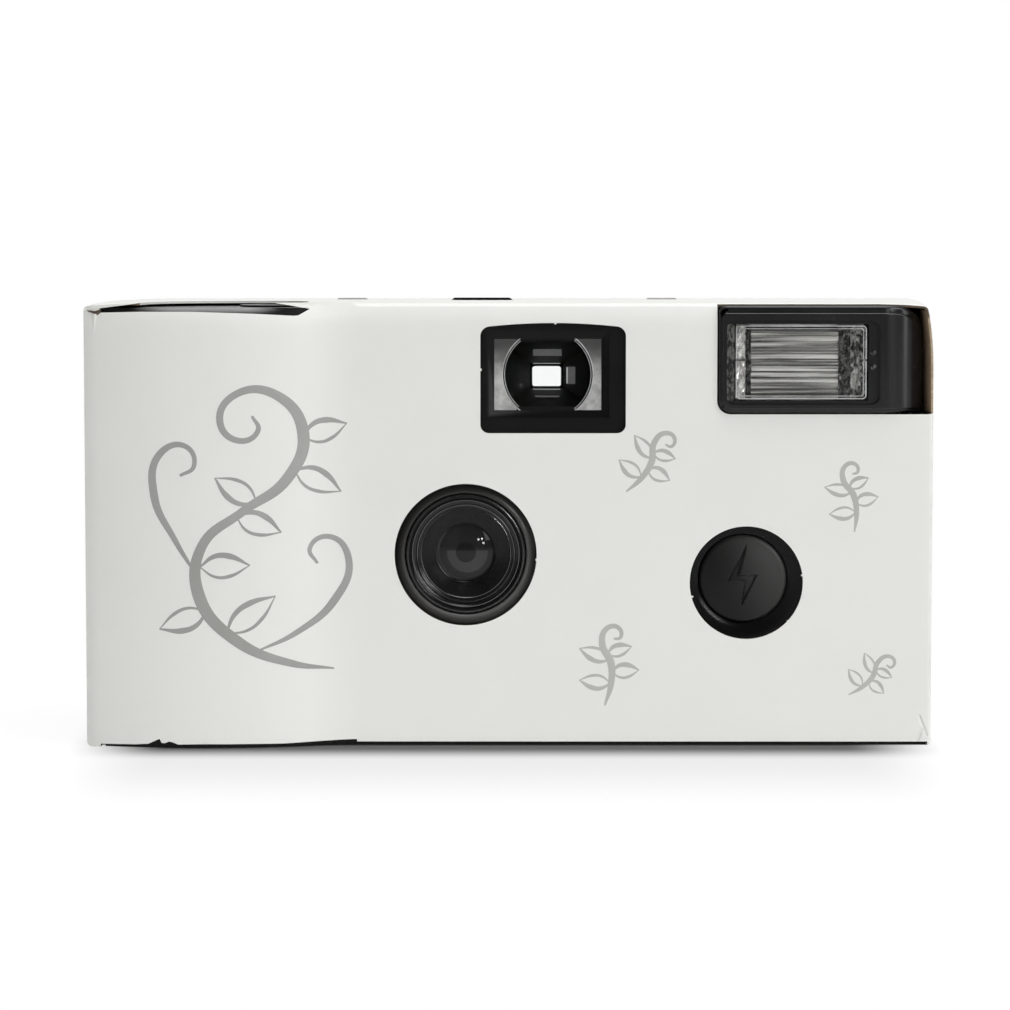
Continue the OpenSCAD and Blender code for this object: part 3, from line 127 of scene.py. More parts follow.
class Shader:
    """A material or world and the one method that makes its nodes."""

    def __init__(self, name: str, world: bool = False) -> None:
        """Start an empty material or world.

        Args:
            name: its name.
            world: make a world.
        """
        self.end = "ShaderNodeOutputWorld" if world else "ShaderNodeOutputMaterial"
        self.material = (bpy.data.worlds if world else bpy.data.materials).new(name)
        self.material.use_nodes = True
        self.tree = self.material.node_tree
        self.tree.nodes.clear()

    def node(
        self,
        kind: str,
        settings: dict[str, object] | None = None,
        sockets: dict[str | int, object] | None = None,
        out: str | int = 0,
    ) -> Value:
        """Make one node.

        Args:
            kind: the node's type.
            settings: attributes of the node, set first.
            sockets: values or links of its inputs.
            out: the output that is given back.

        Returns:
            The chosen output.
        """
        made = self.tree.nodes.new(kind)
        for key, value in (settings or {}).items():
            setattr(made, key, value)
        for key, value in (sockets or {}).items():
            if isinstance(value, Value):
                self.tree.links.new(value.socket, made.inputs[key])
            else:
                made.inputs[key].default_value = value
        return Value(self, made.outputs[out])

    def coords(self) -> Value:
        """Give the place on the object, in metres."""
        return self.node("ShaderNodeTexCoord", out="Object")

    def axes(self) -> tuple[Value, Value, Value]:
        """Give the place on the object along X, Y and Z, in metres."""
        split = self.node("ShaderNodeSeparateXYZ", sockets={0: self.coords()})
        parts = split.socket.node.outputs
        return Value(self, parts[0]), Value(self, parts[1]), Value(self, parts[2])

    def noise(self, scale: float, detail: float, rough: float, stretch: Point = (1, 1, 1)) -> Value:
        """Give a noise between 0 and 1.

        Args:
            scale: cells to a metre.
            detail: octaves of finer noise.
            rough: weight of the finer noise.
            stretch: growth of the pattern's pace along each axis.

        Returns:
            The noise.
        """
        sockets = {"Vector": self.coords(), "Scale": stretch}
        place = self.node("ShaderNodeMapping", {"vector_type": "POINT"}, sockets)
        sockets = {"Vector": place, "Scale": scale, "Detail": detail, "Roughness": rough}
        return self.node("ShaderNodeTexNoise", {}, sockets, "Fac")

    def mix(self, factor: Value | float, first: Value | Colour, second: Value | Colour) -> Value:
        """Give a colour between two colours."""
        pair = [c if isinstance(c, Value) else (*c, 1.0) for c in (first, second)]
        return self.node("ShaderNodeMix", {"data_type": "RGBA"}, {0: factor, 6: pair[0], 7: pair[1]}, 2)

    def step(self, value: Value, low: float, high: float) -> Value:
        """Give a soft step from 0 at low to 1 at high."""
        settings = {"interpolation_type": "SMOOTHSTEP"}
        return self.node("ShaderNodeMapRange", settings, {"Value": value, 1: low, 2: high, 3: 0.0, 4: 1.0})

    def bump(self, height: Value, depth: float, strength: float = 1.0, under: Value | None = None) -> Value:
        """Give a normal that follows a height.

        Args:
            height: the height, between 0 and 1.
            depth: metres that a height of 1 stands for.
            strength: share of the effect.
            under: a normal that this one is added to.

        Returns:
            The normal.
        """
        sockets: dict[str | int, object] = {"Height": height, "Distance": depth, "Strength": strength}
        if under is not None:
            sockets["Normal"] = under
        return self.node("ShaderNodeBump", {}, sockets)

    def surface(self, **sockets: object) -> bpy.types.Material:
        """Close the material with a Principled shader.

        Args:
            sockets: values or links by the input's name, with _ for a space.

        Returns:
            The finished material.
        """
        named: dict[str | int, object] = {}
        for key, value in sockets.items():
            is_colour = isinstance(value, tuple) and len(value) == 3
            named[key.replace("_", " ")] = (*value, 1.0) if is_colour else value
        done = self.node("ShaderNodeBsdfPrincipled", {}, named)
        self.close(done)
        return self.material

    def close(self, done: Value) -> None:
        """Link a shader to the output."""
        end = self.tree.nodes.new(self.end)
        self.tree.links.new(done.socket, end.inputs[0])


class Finish:
    """A surface finish that is made once and then shared."""

    _made: dict[object, bpy.types.Material] = {}

    def material(self) -> bpy.types.Material:
        """Give the finish's material, made at the first call."""
        if self not in Finish._made:
            Finish._made[self] = self.build()
        return Finish._made[self]

    def build(self) -> bpy.types.Material:
        """Make the material."""
        raise NotImplementedError


@dataclass(frozen=True)
class CoatedCard(Finish):
    """White coated board, a little mottled, with fine tooth, soft waves, folds showing wear, and creases
    drawn darker as painted shade.
    """

    name: str = "coated_card"
    white: Colour = (0.80, 0.805, 0.775)
    shade: Colour = (0.785, 0.788, 0.757)
    wear_and_crease_shade: Colour = (0.66, 0.64, 0.60)
    half_width: float = 57.5 * MM
    height: float = 60 * MM
    front: float = -13.5 * MM
    back: float = 16.5 * MM
    creases: tuple[Span, ...] = (
        (55.9, 4.0, 56.9, 1.4),
        (56.2, 2.2, 55.6, 0.3),
    )

    def build(self) -> bpy.types.Material:
        """Make the material."""
        s = Shader(self.name)
        x, y, z = s.axes()
        mottle = s.noise(55, 4, 0.6)
        tooth = s.noise(5200, 3, 0.6)
        base = s.mix(s.step(mottle, 0.35, 0.75), self.white, self.shade)
        base = s.mix(s.step(tooth, 0.3, 0.8) * 0.1, base, (0.72, 0.72, 0.69))
        across = self.half_width - abs(x)
        level = z.least(self.height - z)
        deep = (y - self.front).most(0.0).least(self.back - y)
        side = across.least(level).most(across.most(level).least(deep))
        rub = (1 - s.step(side, 0.05 * MM, 0.55 * MM)) * s.step(s.noise(420, 4, 0.65), 0.42, 0.66)
        base = s.mix(rub * 0.7, base, self.wear_and_crease_shade)
        lines: Value | float = 0.0
        for x0, z0, x1, z1 in self.creases:
            lines = self._line(s, x, z, (x0 * MM, z0 * MM, x1 * MM, z1 * MM)) + lines
        # creases are drawn darker in the wear colour, as painted shade of the folds
        base = s.mix(lines.least(1.0) * 0.35, base, self.wear_and_crease_shade)
        waves = s.noise(38, 2, 0.5, (1, 1, 0.7))
        normal = s.bump(waves, 0.09 * MM)
        normal = s.bump(tooth, 0.006 * MM, 0.5, normal)
        normal = s.bump(1 - lines.least(1.0), 0.12 * MM, 0.8, normal)
        rough = 0.36 + mottle * 0.12 + rub * 0.25
        return s.surface(Base_Color=base, Roughness=rough, Normal=normal, Specular_IOR_Level=0.42)

    def _line(self, s: Shader, x: Value, z: Value, ends: Span) -> Value:
        """Give a soft line along a crease.

        Args:
            s: the shader.
            x: place across.
            z: place in height.
            ends: the crease's two ends, in metres.

        Returns:
            1 on the crease, 0 away from it.
        """
        run, rise = ends[2] - ends[0], ends[3] - ends[1]
        share = ((x - ends[0]) * run + (z - ends[1]) * rise) / (run * run + rise * rise)
        share = share.most(0.0).least(1.0)
        off_x = x - ends[0] - share * run
        off_z = z - ends[1] - share * rise
        away = (off_x * off_x + off_z * off_z) ** 0.5
        return 1 - s.step(away, 0.05 * MM, 0.3 * MM)


@dataclass(frozen=True)
class BareBoard(Finish):
    """Uncoated inner face or cut edge of the board, with fibres and layers."""

    name: str
    light: Colour
    dark: Colour

    def build(self) -> bpy.types.Material:
        """Make the material."""
        s = Shader(self.name)
        fibre = s.noise(900, 5, 0.7, (1, 3, 3))
        fleck = s.noise(2600, 2, 0.5)
        base = s.mix(s.step(fibre, 0.3, 0.75), self.light, self.dark)
        base = s.mix(s.step(fleck, 0.62, 0.8) * 0.35, base, self.dark)
        return s.surface(Base_Color=base, Roughness=0.8 + fibre * 0.1, Normal=s.bump(fibre, 0.03 * MM))


@dataclass(frozen=True)
class PrintedInk(Finish):
    """Silver-grey printed ink, slightly uneven where it soaked in."""

    name: str
    tone: Colour
    faded: Colour

    def build(self) -> bpy.types.Material:
        """Make the material."""
        s = Shader(self.name)
        cloud = s.noise(140, 4, 0.6)
        grain = s.noise(4200, 2, 0.5)
        base = s.mix(s.step(cloud, 0.3, 0.75) * 0.6, self.tone, self.faded)
        base = s.mix(s.step(grain, 0.55, 0.8) * 0.3, base, self.faded)
        return s.surface(Base_Color=base, Roughness=0.36 + cloud * 0.14, Normal=s.bump(grain, 0.004 * MM))


@dataclass(frozen=True)
class MouldedPlastic(Finish):
    """Injection moulded plastic with a fine spark-eroded grain and faint flow marks."""

    name: str
    tone: Colour = (0.0055, 0.0055, 0.0058)
    lighter: Colour = (0.009, 0.009, 0.0093)
    rough: float = 0.36
    grain: float = 0.005 * MM
    grain_scale: float = 3600
    specular: float = 0.32
    painted_light_sweep: Span | None = None

    def build(self) -> bpy.types.Material:
        """Make the material; painted_light_sweep, if given, sets the place and direction in which its tone
        grows lighter, a painted highlight and shade.
        """
        s = Shader(self.name)
        flow = s.noise(90, 4, 0.6, (1, 1, 2))
        grain = s.noise(self.grain_scale, 2, 0.55)
        dust = s.noise(1500, 3, 0.6)
        share = s.step(flow, 0.3, 0.8)
        if self.painted_light_sweep is not None:
            x, _, z = s.axes()
            middle_x, middle_z, run, rise = self.painted_light_sweep
            along = ((x - middle_x * MM) * run + (z - middle_z * MM) * rise) / MM
            # painted light: the tone grows lighter along the given direction, in place of the flow marks
            share = s.step(along, -1.0, 1.0)
        base = s.mix(share, self.tone, self.lighter)
        base = s.mix(s.step(dust, 0.72, 0.88) * 0.06, base, (0.2, 0.2, 0.2))
        rough = self.rough + (flow - 0.5) * 0.14 + s.step(dust, 0.6, 0.85) * 0.08
        normal = s.bump(grain, self.grain)
        return s.surface(
            Base_Color=base, Roughness=rough, Normal=normal, Specular_IOR_Level=self.specular
        )


@dataclass(frozen=True)
class PaintedSheenShoulder(Finish):
    """Black moulding whose rounded upper edge has a painted highlight in its middle part, in place of the
    light it catches there.
    """

    name: str
    left: Pair
    right: Pair
    level: Pair
    light: Colour

    def build(self) -> bpy.types.Material:
        """Make the material."""
        s = Shader(self.name)
        x, _, z = s.axes()
        grain = s.noise(900, 3, 0.6)
        # painted highlight: the middle of the upper edge is coloured lighter
        lit = s.step(x, *self.left) * (1 - s.step(x, *self.right)) * s.step(z, *self.level)
        base = s.mix(lit * (0.85 + grain * 0.3), (0.004, 0.004, 0.004), self.light)
        return s.surface(Base_Color=base, Roughness=0.4 + grain * 0.1, Specular_IOR_Level=0.12)


@dataclass(frozen=True)
class ClearPlastic(Finish):
    """Clear moulding with a faint haze and moulding ripple."""

    name: str
    tint: Colour = (0.97, 0.985, 0.98)
    rough: float = 0.02
    ripple: float = 0.004 * MM
    mirror: float = 1.0

    def build(self) -> bpy.types.Material:
        """Make the material."""
        s = Shader(self.name)
        wave = s.noise(220, 2, 0.5)
        haze = s.noise(900, 3, 0.6)
        rough = self.rough + s.step(haze, 0.6, 0.9) * 0.02
        return s.surface(
            Base_Color=s.mix(haze * 0.2, self.tint, (0.9, 0.93, 0.93)),
            Roughness=rough,
            Normal=s.bump(wave, self.ripple),
            Transmission_Weight=1.0,
            IOR=1.49,
            Specular_Tint=(self.mirror, self.mirror, self.mirror),
        )


@dataclass(frozen=True)
class DarkLens(Finish):
    """Lens painted with what it shows: painted shade of the dark camera behind it, the stop in the middle, a
    painted reflection of the pale table in the lower half and a painted highlight on its lower left rim.
    """

    name: str
    x: float
    z: float

    def build(self) -> bpy.types.Material:
        """Make the material."""
        s = Shader(self.name)
        across, _, high = s.axes()
        dx, dz = across - self.x, high - self.z
        off = (dx * dx + dz * dz) ** 0.5
        inner = ((dx - 0.2 * MM) * (dx - 0.2 * MM) + dz * dz) ** 0.5
        haze = s.noise(600, 2, 0.5)
        # painted reflection: the lower half is a little lighter than the upper
        below = 1 - s.step(dz, 0.55 * MM, 0.7 * MM)
        base = s.mix(below, (0.021, 0.021, 0.022), (0.027, 0.027, 0.028))
        # painted reflection of the pale table in a half disc
        table = (1 - s.step(inner, 2.7 * MM, 2.85 * MM)) * (1 - s.step(dz, 0.2 * MM, 0.3 * MM))
        base = s.mix(table, base, (0.056, 0.056, 0.056))
        # painted shade of the dark stop behind the lens
        stop = 1 - s.step(off, 1.3 * MM, 1.45 * MM)
        base = s.mix(stop * 0.75, base, (0.011, 0.011, 0.011))
        # painted highlight on the lower left rim
        edge = s.step(off, 3.55 * MM, 3.8 * MM) * s.step(0 - dx - dz * 0.4, 0.6 * MM, 3.2 * MM)
        base = s.mix(edge, base, (0.085, 0.085, 0.08))
        return s.surface(Base_Color=base, Roughness=0.03 + haze * 0.02, Specular_IOR_Level=0.14)


@dataclass(frozen=True)
class ClearSheet(Finish):
    """Thin clear or frosted sheet that light passes straight through."""

    name: str
    tone: Colour
    rough: float
    cover: float
    specular: float = 0.8
    tooth: float = 0.0
    painted_top_shade: Pair = (1.0, 2.0)

    def build(self) -> bpy.types.Material:
        """Make the material."""
        s = Shader(self.name)
        haze = s.noise(700, 4, 0.6)
        grain = s.noise(2800, 2, 0.5)
        _, _, z = s.axes()
        base = s.mix(s.step(haze, 0.3, 0.7), self.tone, tuple(min(1.0, c * 1.5) for c in self.tone))
        # painted shade: the sheet grows darker towards the top over the painted_top_shade band
        base = s.mix(s.step(z, *self.painted_top_shade), base, tuple(c * 0.2 for c in self.tone))
        return s.surface(
            Base_Color=base,
            Roughness=self.rough + haze * 0.06,
            Alpha=self.cover + (haze - 0.5) * self.cover * 0.3,
            Normal=s.bump(grain, self.tooth + 0.0005 * MM),
            Specular_IOR_Level=self.specular,
        )


@dataclass(frozen=True)
class StreakedSheet(Finish):
    """Moulded ribs or crinkled foil behind the flash window, in uneven light and dark."""

    name: str
    light: Colour
    dark: Colour
    stretch: Point
    scale: float
    rough: float = 0.22
    metallic: float = 0.35

    def build(self) -> bpy.types.Material:
        """Make the material."""
        s = Shader(self.name)
        band = s.noise(self.scale, 3, 0.7, self.stretch)
        fine = s.noise(self.scale * 4, 2, 0.6, self.stretch)
        share = s.step(band * 0.7 + fine * 0.3, 0.42, 0.58)
        return s.surface(
            Base_Color=s.mix(share, self.dark, self.light),
            Roughness=self.rough + fine * 0.1,
            Metallic=self.metallic,
            Normal=s.bump(fine, 0.01 * MM),
        )


@dataclass(frozen=True)
class PaintedGlow(Finish):
    """Bar inside the finder that glows with painted light, standing in for the eyepiece's light on the tunnel
    walls.
    """

    name: str
    tone: float

    def build(self) -> bpy.types.Material:
        """Make the material."""
        s = Shader(self.name)
        cloud = s.noise(500, 2, 0.5)
        # painted light: an emission on a part that is no lamp
        glow = s.mix(cloud, (self.tone * 0.8,) * 3, (self.tone * 1.2,) * 3)
        dark = (0.01, 0.01, 0.01)
        return s.surface(Base_Color=dark, Roughness=0.6, Emission_Color=glow, Emission_Strength=1.0)


@dataclass(frozen=True)
class BrightMetal(Finish):
    """Metal with brushed or rolled streaks and slight tarnish."""

    name: str
    tone: Colour
    dull: Colour
    rough: float = 0.25
    streak: Point = (1, 1, 12)
    metallic: float = 1.0

    def build(self) -> bpy.types.Material:
        """Make the material."""
        s = Shader(self.name)
        line = s.noise(700, 4, 0.6, self.streak)
        stain = s.noise(120, 4, 0.6)
        base = s.mix(s.step(stain, 0.4, 0.8) * 0.6, self.tone, self.dull)
        rough = self.rough + line * 0.14 + s.step(stain, 0.5, 0.9) * 0.12
        return s.surface(
            Base_Color=base, Roughness=rough, Metallic=self.metallic, Normal=s.bump(line, 0.006 * MM)
        )


@dataclass(frozen=True)
class BoardLaminate(Finish):
    """Green laminate with copper tracks under the varnish."""

    name: str = "board_laminate"

    def build(self) -> bpy.types.Material:
        """Make the material."""
        s = Shader(self.name)
        x, _, z = s.axes()
        lanes = ((x * 1900).sine() * 0.6 + (z * 1300).sine()).most(0.0)
        track = s.step(lanes, 0.5, 0.62)
        weave = s.noise(1400, 3, 0.6)
        base = s.mix(track, (0.05, 0.13, 0.045), (0.10, 0.22, 0.06))
        base = s.mix(weave * 0.3, base, (0.03, 0.09, 0.03))
        return s.surface(Base_Color=base, Roughness=0.3 + weave * 0.15, Normal=s.bump(track, 0.03 * MM))


@dataclass(frozen=True)
class WoundWire(Finish):
    """Varnished wire or tape wound in close turns."""

    name: str
    tone: Colour
    gap: Colour
    pitch: float = 0.3 * MM
    metallic: float = 0.0

    def build(self) -> bpy.types.Material:
        """Make the material."""
        s = Shader(self.name)
        x, _, z = s.axes()
        turn = ((z + x * 0.02) * (2 * math.pi / self.pitch)).sine() * 0.5 + 0.5
        cloud = s.noise(300, 3, 0.6)
        base = s.mix(turn, self.gap, self.tone)
        base = s.mix(cloud * 0.35, base, self.gap)
        rough = 0.32 + cloud * 0.2
        normal = s.bump(turn, 0.06 * MM)
        return s.surface(Base_Color=base, Roughness=rough, Metallic=self.metallic, Normal=normal)


class Ink(Enum):
    """The two strengths of print on the sleeve."""

    DEEP = PrintedInk("print_deep", (0.315, 0.315, 0.30), (0.385, 0.385, 0.37))
    LIGHT = PrintedInk("print_light", (0.44, 0.44, 0.42), (0.50, 0.50, 0.48))


CARD = CoatedCard()
KRAFT = BareBoard("kraft_inside", (0.43, 0.31, 0.20), (0.30, 0.205, 0.125))
CUT_EDGE = BareBoard("board_cut_edge", (0.46, 0.38, 0.27), (0.30, 0.22, 0.14))
SHADED_EDGE = BareBoard("shaded_edge", (0.12, 0.09, 0.06), (0.06, 0.042, 0.028))
BLACK = MouldedPlastic("black_moulding", rough=0.27, grain=0.003 * MM, specular=0.3)
# lighter rims on the lens ring, a painted highlight
PAINTED_RIM_HIGHLIGHT = MouldedPlastic("rim_painted_highlight", (0.02, 0.02, 0.02), (0.03, 0.03, 0.03), 0.16, 0.0, 900, 1.0)
# the lens bezel's tone is painted lighter towards the lower right, a painted highlight with painted shade at
# the upper left
BEZEL = MouldedPlastic(
    "bezel_black", (0.022, 0.022, 0.02), (0.095, 0.095, 0.093), 0.3, 0.002 * MM, 2000, 0.36,
    (*LENS_AXIS, 0.06, -0.1),
)
HOUSING = MouldedPlastic(
    "housing_black", (0.004, 0.004, 0.004), (0.007, 0.007, 0.007), 0.24, 0.002 * MM, 3600, 0.37
)
# the flash button's tone is painted lighter towards the upper right, a painted highlight
BUTTON = MouldedPlastic(
    "button_black", (0.004, 0.004, 0.004), (0.038, 0.038, 0.037), 0.4, 0.002 * MM, 3600, 0.2,
    (33.0, 23.2, 0.17, 0.08),
)
SHOULDER_PAINTED_SHEEN = PaintedSheenShoulder(
    "shoulder_painted_sheen", (-51 * MM, -44 * MM), (-35 * MM, -30 * MM), (58.4 * MM, 59.4 * MM), (0.3, 0.3, 0.3)
)
TAB_EDGE = BareBoard("tab_edge", (0.58, 0.57, 0.54), (0.48, 0.47, 0.44))
FRAME = MouldedPlastic(
    "finder_black", (0.004, 0.004, 0.004), (0.006, 0.006, 0.006), 0.35, 0.002 * MM, 2000, 0.13
)
GLOSS = MouldedPlastic("polished_black", rough=0.2, grain=0.001 * MM, specular=0.36)
# black darker than the rest, painted shade in the button's well, under the grip and on the shutter button
SHADE_DARK_BLACK = MouldedPlastic("shade_dark_black", (0.003, 0.003, 0.003), (0.005, 0.005, 0.005), 0.2, 0.001 * MM, 900, 0.14)
INNER = MouldedPlastic("inner_moulding", (0.010, 0.010, 0.011), (0.017, 0.017, 0.018), 0.45)
TUNNEL = MouldedPlastic(
    "tunnel_black", (0.005, 0.005, 0.005), (0.008, 0.008, 0.008), 0.6, 0.001 * MM, 900, 0.04
)
PALE = MouldedPlastic("pale_moulding", (0.62, 0.62, 0.58), (0.68, 0.68, 0.64), 0.42)
CLEAR = ClearPlastic("clear_moulding", (0.8, 0.81, 0.81), 0.01, 0.0, 0.6)
LENS_GLASS = DarkLens("lens_painted_reflections", LENS_AXIS[0] * MM, LENS_AXIS[1] * MM)
FINDER_CLEAR = ClearPlastic("finder_clear", mirror=0.02)
DIM_PAINTED_GLOW = PaintedGlow("dim_painted_glow", 0.075)
BRIGHT_PAINTED_GLOW = PaintedGlow("bright_painted_glow", 0.42)
PANE = ClearSheet("clear_pane", (0.75, 0.76, 0.76), 0.04, 0.02)
FLASH_PANE = ClearSheet("flash_pane", (0.62, 0.62, 0.61), 0.05, 0.012, 0.4)
# frosted flats, painted darker towards the top as shade
FROST = ClearSheet("frosted_flat", (0.35, 0.35, 0.345), 0.4, 0.95, 0.2, 0.01 * MM, (49 * MM, 54.6 * MM))
# pale rims whose brightness is a painted highlight
PAINTED_HIGHLIGHT_RIM = ClearSheet("painted_highlight_rim", (0.42, 0.42, 0.42), 0.18, 0.9, 1.0)
FLANGE = StreakedSheet("clear_flange", (0.13, 0.13, 0.12), (0.008, 0.008, 0.008), (1, 1, 0.5), 800, 0.12, 0.1)
TUBE_GLASS = ClearPlastic("tube_glass", (0.94, 0.97, 0.95), 0.01, 0.0005 * MM)
REFLECTOR = BrightMetal("plated_reflector", (0.80, 0.80, 0.79), (0.66, 0.66, 0.65), 0.16, (1, 8, 8))
RIBS = StreakedSheet("ribbed_diffuser", (0.56, 0.555, 0.53), (0.11, 0.108, 0.10), (0.02, 0.02, 1), 800)
# lit and shaded copies of the crinkled foil, painted light and shade
FOIL_LIT = StreakedSheet("foil_lit", (0.9, 0.9, 0.87), (0.46, 0.45, 0.43), (1, 1, 1), 900, 0.12)
FOIL_HALF_SHADED = StreakedSheet("foil_half_shaded", (0.36, 0.36, 0.34), (0.02, 0.02, 0.02), (1, 1, 0.6), 700, 0.15, 0.1)
FOIL_SHADED = StreakedSheet("foil_shaded", (0.07, 0.07, 0.066), (0.002, 0.002, 0.002), (1, 1, 1), 800, 0.2, 0.0)
STEEL = BrightMetal("spring_steel", (0.60, 0.60, 0.61), (0.45, 0.45, 0.46), 0.26)
BRASS = BrightMetal("contact_brass", (0.74, 0.56, 0.26), (0.52, 0.38, 0.18), 0.28)
TIN = BrightMetal("painted_tin", (0.36, 0.36, 0.38), (0.30, 0.30, 0.32), 0.34, (1, 1, 3), 0.6)
JACKET = BrightMetal("cell_jacket", (0.30, 0.30, 0.32), (0.24, 0.24, 0.26), 0.3, (1, 1, 3), 0.5)
LAMINATE = BoardLaminate()
SLEEVING = MouldedPlastic("shrink_sleeving", (0.02, 0.021, 0.05), (0.03, 0.03, 0.065), 0.26, 0.003 * MM, 900)
TAPE = WoundWire("yellow_tape", (0.58, 0.42, 0.10), (0.42, 0.28, 0.06), 1.1 * MM)
COPPER = WoundWire("copper_turns", (0.62, 0.28, 0.14), (0.22, 0.09, 0.04), 0.25 * MM, 0.8)
AMBER = MouldedPlastic("amber_lamp", (0.72, 0.16, 0.03), (0.80, 0.24, 0.06), 0.18, 0.002 * MM)
FILM = MouldedPlastic("film_base", (0.09, 0.042, 0.022), (0.12, 0.058, 0.03), 0.22, 0.001 * MM, 400)


class Bench:
    """The modelling operators that the pieces are made with."""

    @staticmethod
    def clear() -> None:
        """Deselect everything, in object mode."""
        if bpy.context.object and bpy.context.object.mode != "OBJECT":
            bpy.ops.object.mode_set(mode="OBJECT")
        bpy.ops.object.select_all(action="DESELECT")

    @staticmethod
    def pick(obj: bpy.types.Object) -> None:
        """Select one object alone and make it active."""
        Bench.clear()
        obj.select_set(True)
        bpy.context.view_layer.objects.active = obj

    @staticmethod
    def settle(obj: bpy.types.Object) -> None:
        """Put the object's place, turn and scale into its mesh."""
        Bench.pick(obj)
        bpy.ops.object.transform_apply(location=True, rotation=True, scale=True)

    @staticmethod
    def cube(name: str, low: Point, high: Point) -> bpy.types.Object:
        """Add a box.

        Args:
            name: the object's name.
            low: its lowest corner, in millimetres.
            high: its highest corner, in millimetres.

        Returns:
            The object.
        """
        Bench.clear()
        middle = [(a + b) / 2 * MM for a, b in zip(low, high)]
        bpy.ops.mesh.primitive_cube_add(size=1, location=middle)
        obj = bpy.context.object
        obj.name = name
        obj.scale = [(b - a) * MM for a, b in zip(low, high)]
        Bench.settle(obj)
        return obj

    @staticmethod
    def barrel(
        name: str, middle: Point, radius: float, length: float, along: str, sides: int = 96
    ) -> bpy.types.Object:
        """Add a round bar.

        Args:
            name: the object's name.
            middle: its middle, in millimetres.
            radius: its radius, in millimetres.
            length: its length, in millimetres.
            along: the axis it lies along, Y or Z.
            sides: the sides of its outline.

        Returns:
            The object.
        """
        Bench.clear()
        turn = (math.pi / 2, 0, 0) if along == "Y" else (0, 0, 0)
        bpy.ops.mesh.primitive_cylinder_add(
            vertices=sides,
            radius=radius * MM,
            depth=length * MM,
            location=[c * MM for c in middle],
            rotation=turn,
        )
        obj = bpy.context.object
        obj.name = name
        Bench.settle(obj)
        return obj

    @staticmethod
    def choose_edges(obj: bpy.types.Object, wanted: Wanted) -> None:
        """Enter edit mode with only the wanted edges selected.

        Args:
            obj: the object.
            wanted: says of an edge's two ends, in millimetres, whether it is taken.
        """
        Bench.pick(obj)
        bpy.ops.object.mode_set(mode="EDIT")
        bpy.ops.mesh.select_mode(type="EDGE")
        bpy.ops.mesh.select_all(action="DESELECT")
        mesh = bmesh.from_edit_mesh(obj.data)
        for edge in mesh.edges:
            first, second = (v.co / MM for v in edge.verts)
            edge.select = wanted(first, second)
        mesh.select_flush_mode()
        bmesh.update_edit_mesh(obj.data)

    @staticmethod
    def bevel(obj: bpy.types.Object, width: float, segments: int, wanted: Wanted) -> None:
        """Round the wanted edges.

        Args:
            obj: the object.
            width: width of the rounding, in millimetres.
            segments: faces across it.
            wanted: says of an edge's two ends whether it is taken.
        """
        Bench.choose_edges(obj, wanted)
        bpy.ops.mesh.bevel(offset=width * MM, segments=segments, profile=0.5)
        bpy.ops.object.mode_set(mode="OBJECT")

    @staticmethod
    def slices(obj: bpy.types.Object, axis: int, places: Sequence[float]) -> None:
        """Cut the mesh across an axis, keeping both sides.

        Args:
            obj: the object.
            axis: 0, 1 or 2 for X, Y or Z.
            places: where to cut, in millimetres.
        """
        Bench.pick(obj)
        bpy.ops.object.mode_set(mode="EDIT")
        normal = [0.0, 0.0, 0.0]
        normal[axis] = 1.0
        for place in places:
            spot = [0.0, 0.0, 0.0]
            spot[axis] = place * MM
            bpy.ops.mesh.select_all(action="SELECT")
            bpy.ops.mesh.bisect(plane_co=spot, plane_no=normal)
        bpy.ops.object.mode_set(mode="OBJECT")

    @staticmethod
    def modify(obj: bpy.types.Object, kind: str, **settings: object) -> None:
        """Add a modifier and apply it.

        Args:
            obj: the object.
            kind: the modifier's type.
            settings: its attributes.
        """
        Bench.pick(obj)
        made = obj.modifiers.new(kind.lower(), kind)
        for key, value in settings.items():
            setattr(made, key, value)
        bpy.ops.object.modifier_apply(modifier=made.name)

    @staticmethod
    def cut(obj: bpy.types.Object, tool: bpy.types.Object, finish: Finish | None = None) -> None:
        """Take the tool's shape out of an object.

        Args:
            obj: the object.
            tool: the shape that is taken out; it is removed afterwards.
            finish: the finish of the cut faces, if they get their own.
        """
        if finish is not None:
            tool.data.materials.clear()
            tool.data.materials.append(finish.material())
        mode = "TRANSFER" if finish is not None else "INDEX"
        Bench.modify(obj, "BOOLEAN", operation="DIFFERENCE", object=tool, solver="EXACT", material_mode=mode)
        bpy.data.objects.remove(tool, do_unlink=True)

    @staticmethod
    def join(first: bpy.types.Object, others: Sequence[bpy.types.Object]) -> bpy.types.Object:
        """Join objects into the first one."""
        Bench.pick(first)
        for other in others:
            other.select_set(True)
        bpy.ops.object.join()
        return first

    @staticmethod
    def smooth(obj: bpy.types.Object, degrees: float = 30) -> None:
        """Shade an object smooth where its faces turn by less than an angle, and keep its flats flat."""
        Bench.pick(obj)
        bpy.ops.object.shade_smooth_by_angle(angle=math.radians(degrees))
        Bench.modify(obj, "WEIGHTED_NORMAL", mode="FACE_AREA", keep_sharp=True)

    @staticmethod
    def gather(name: str, made: Sequence[bpy.types.Object]) -> bpy.types.Object:
        """Join objects into one and name it."""
        obj = Bench.join(made[0], made[1:])
        obj.name = name
        return obj

    @staticmethod
    def edit(obj: bpy.types.Object) -> None:
        """Enter edit mode with the whole object selected."""
        Bench.pick(obj)
        bpy.ops.object.mode_set(mode="EDIT")
        bpy.ops.mesh.select_all(action="SELECT")

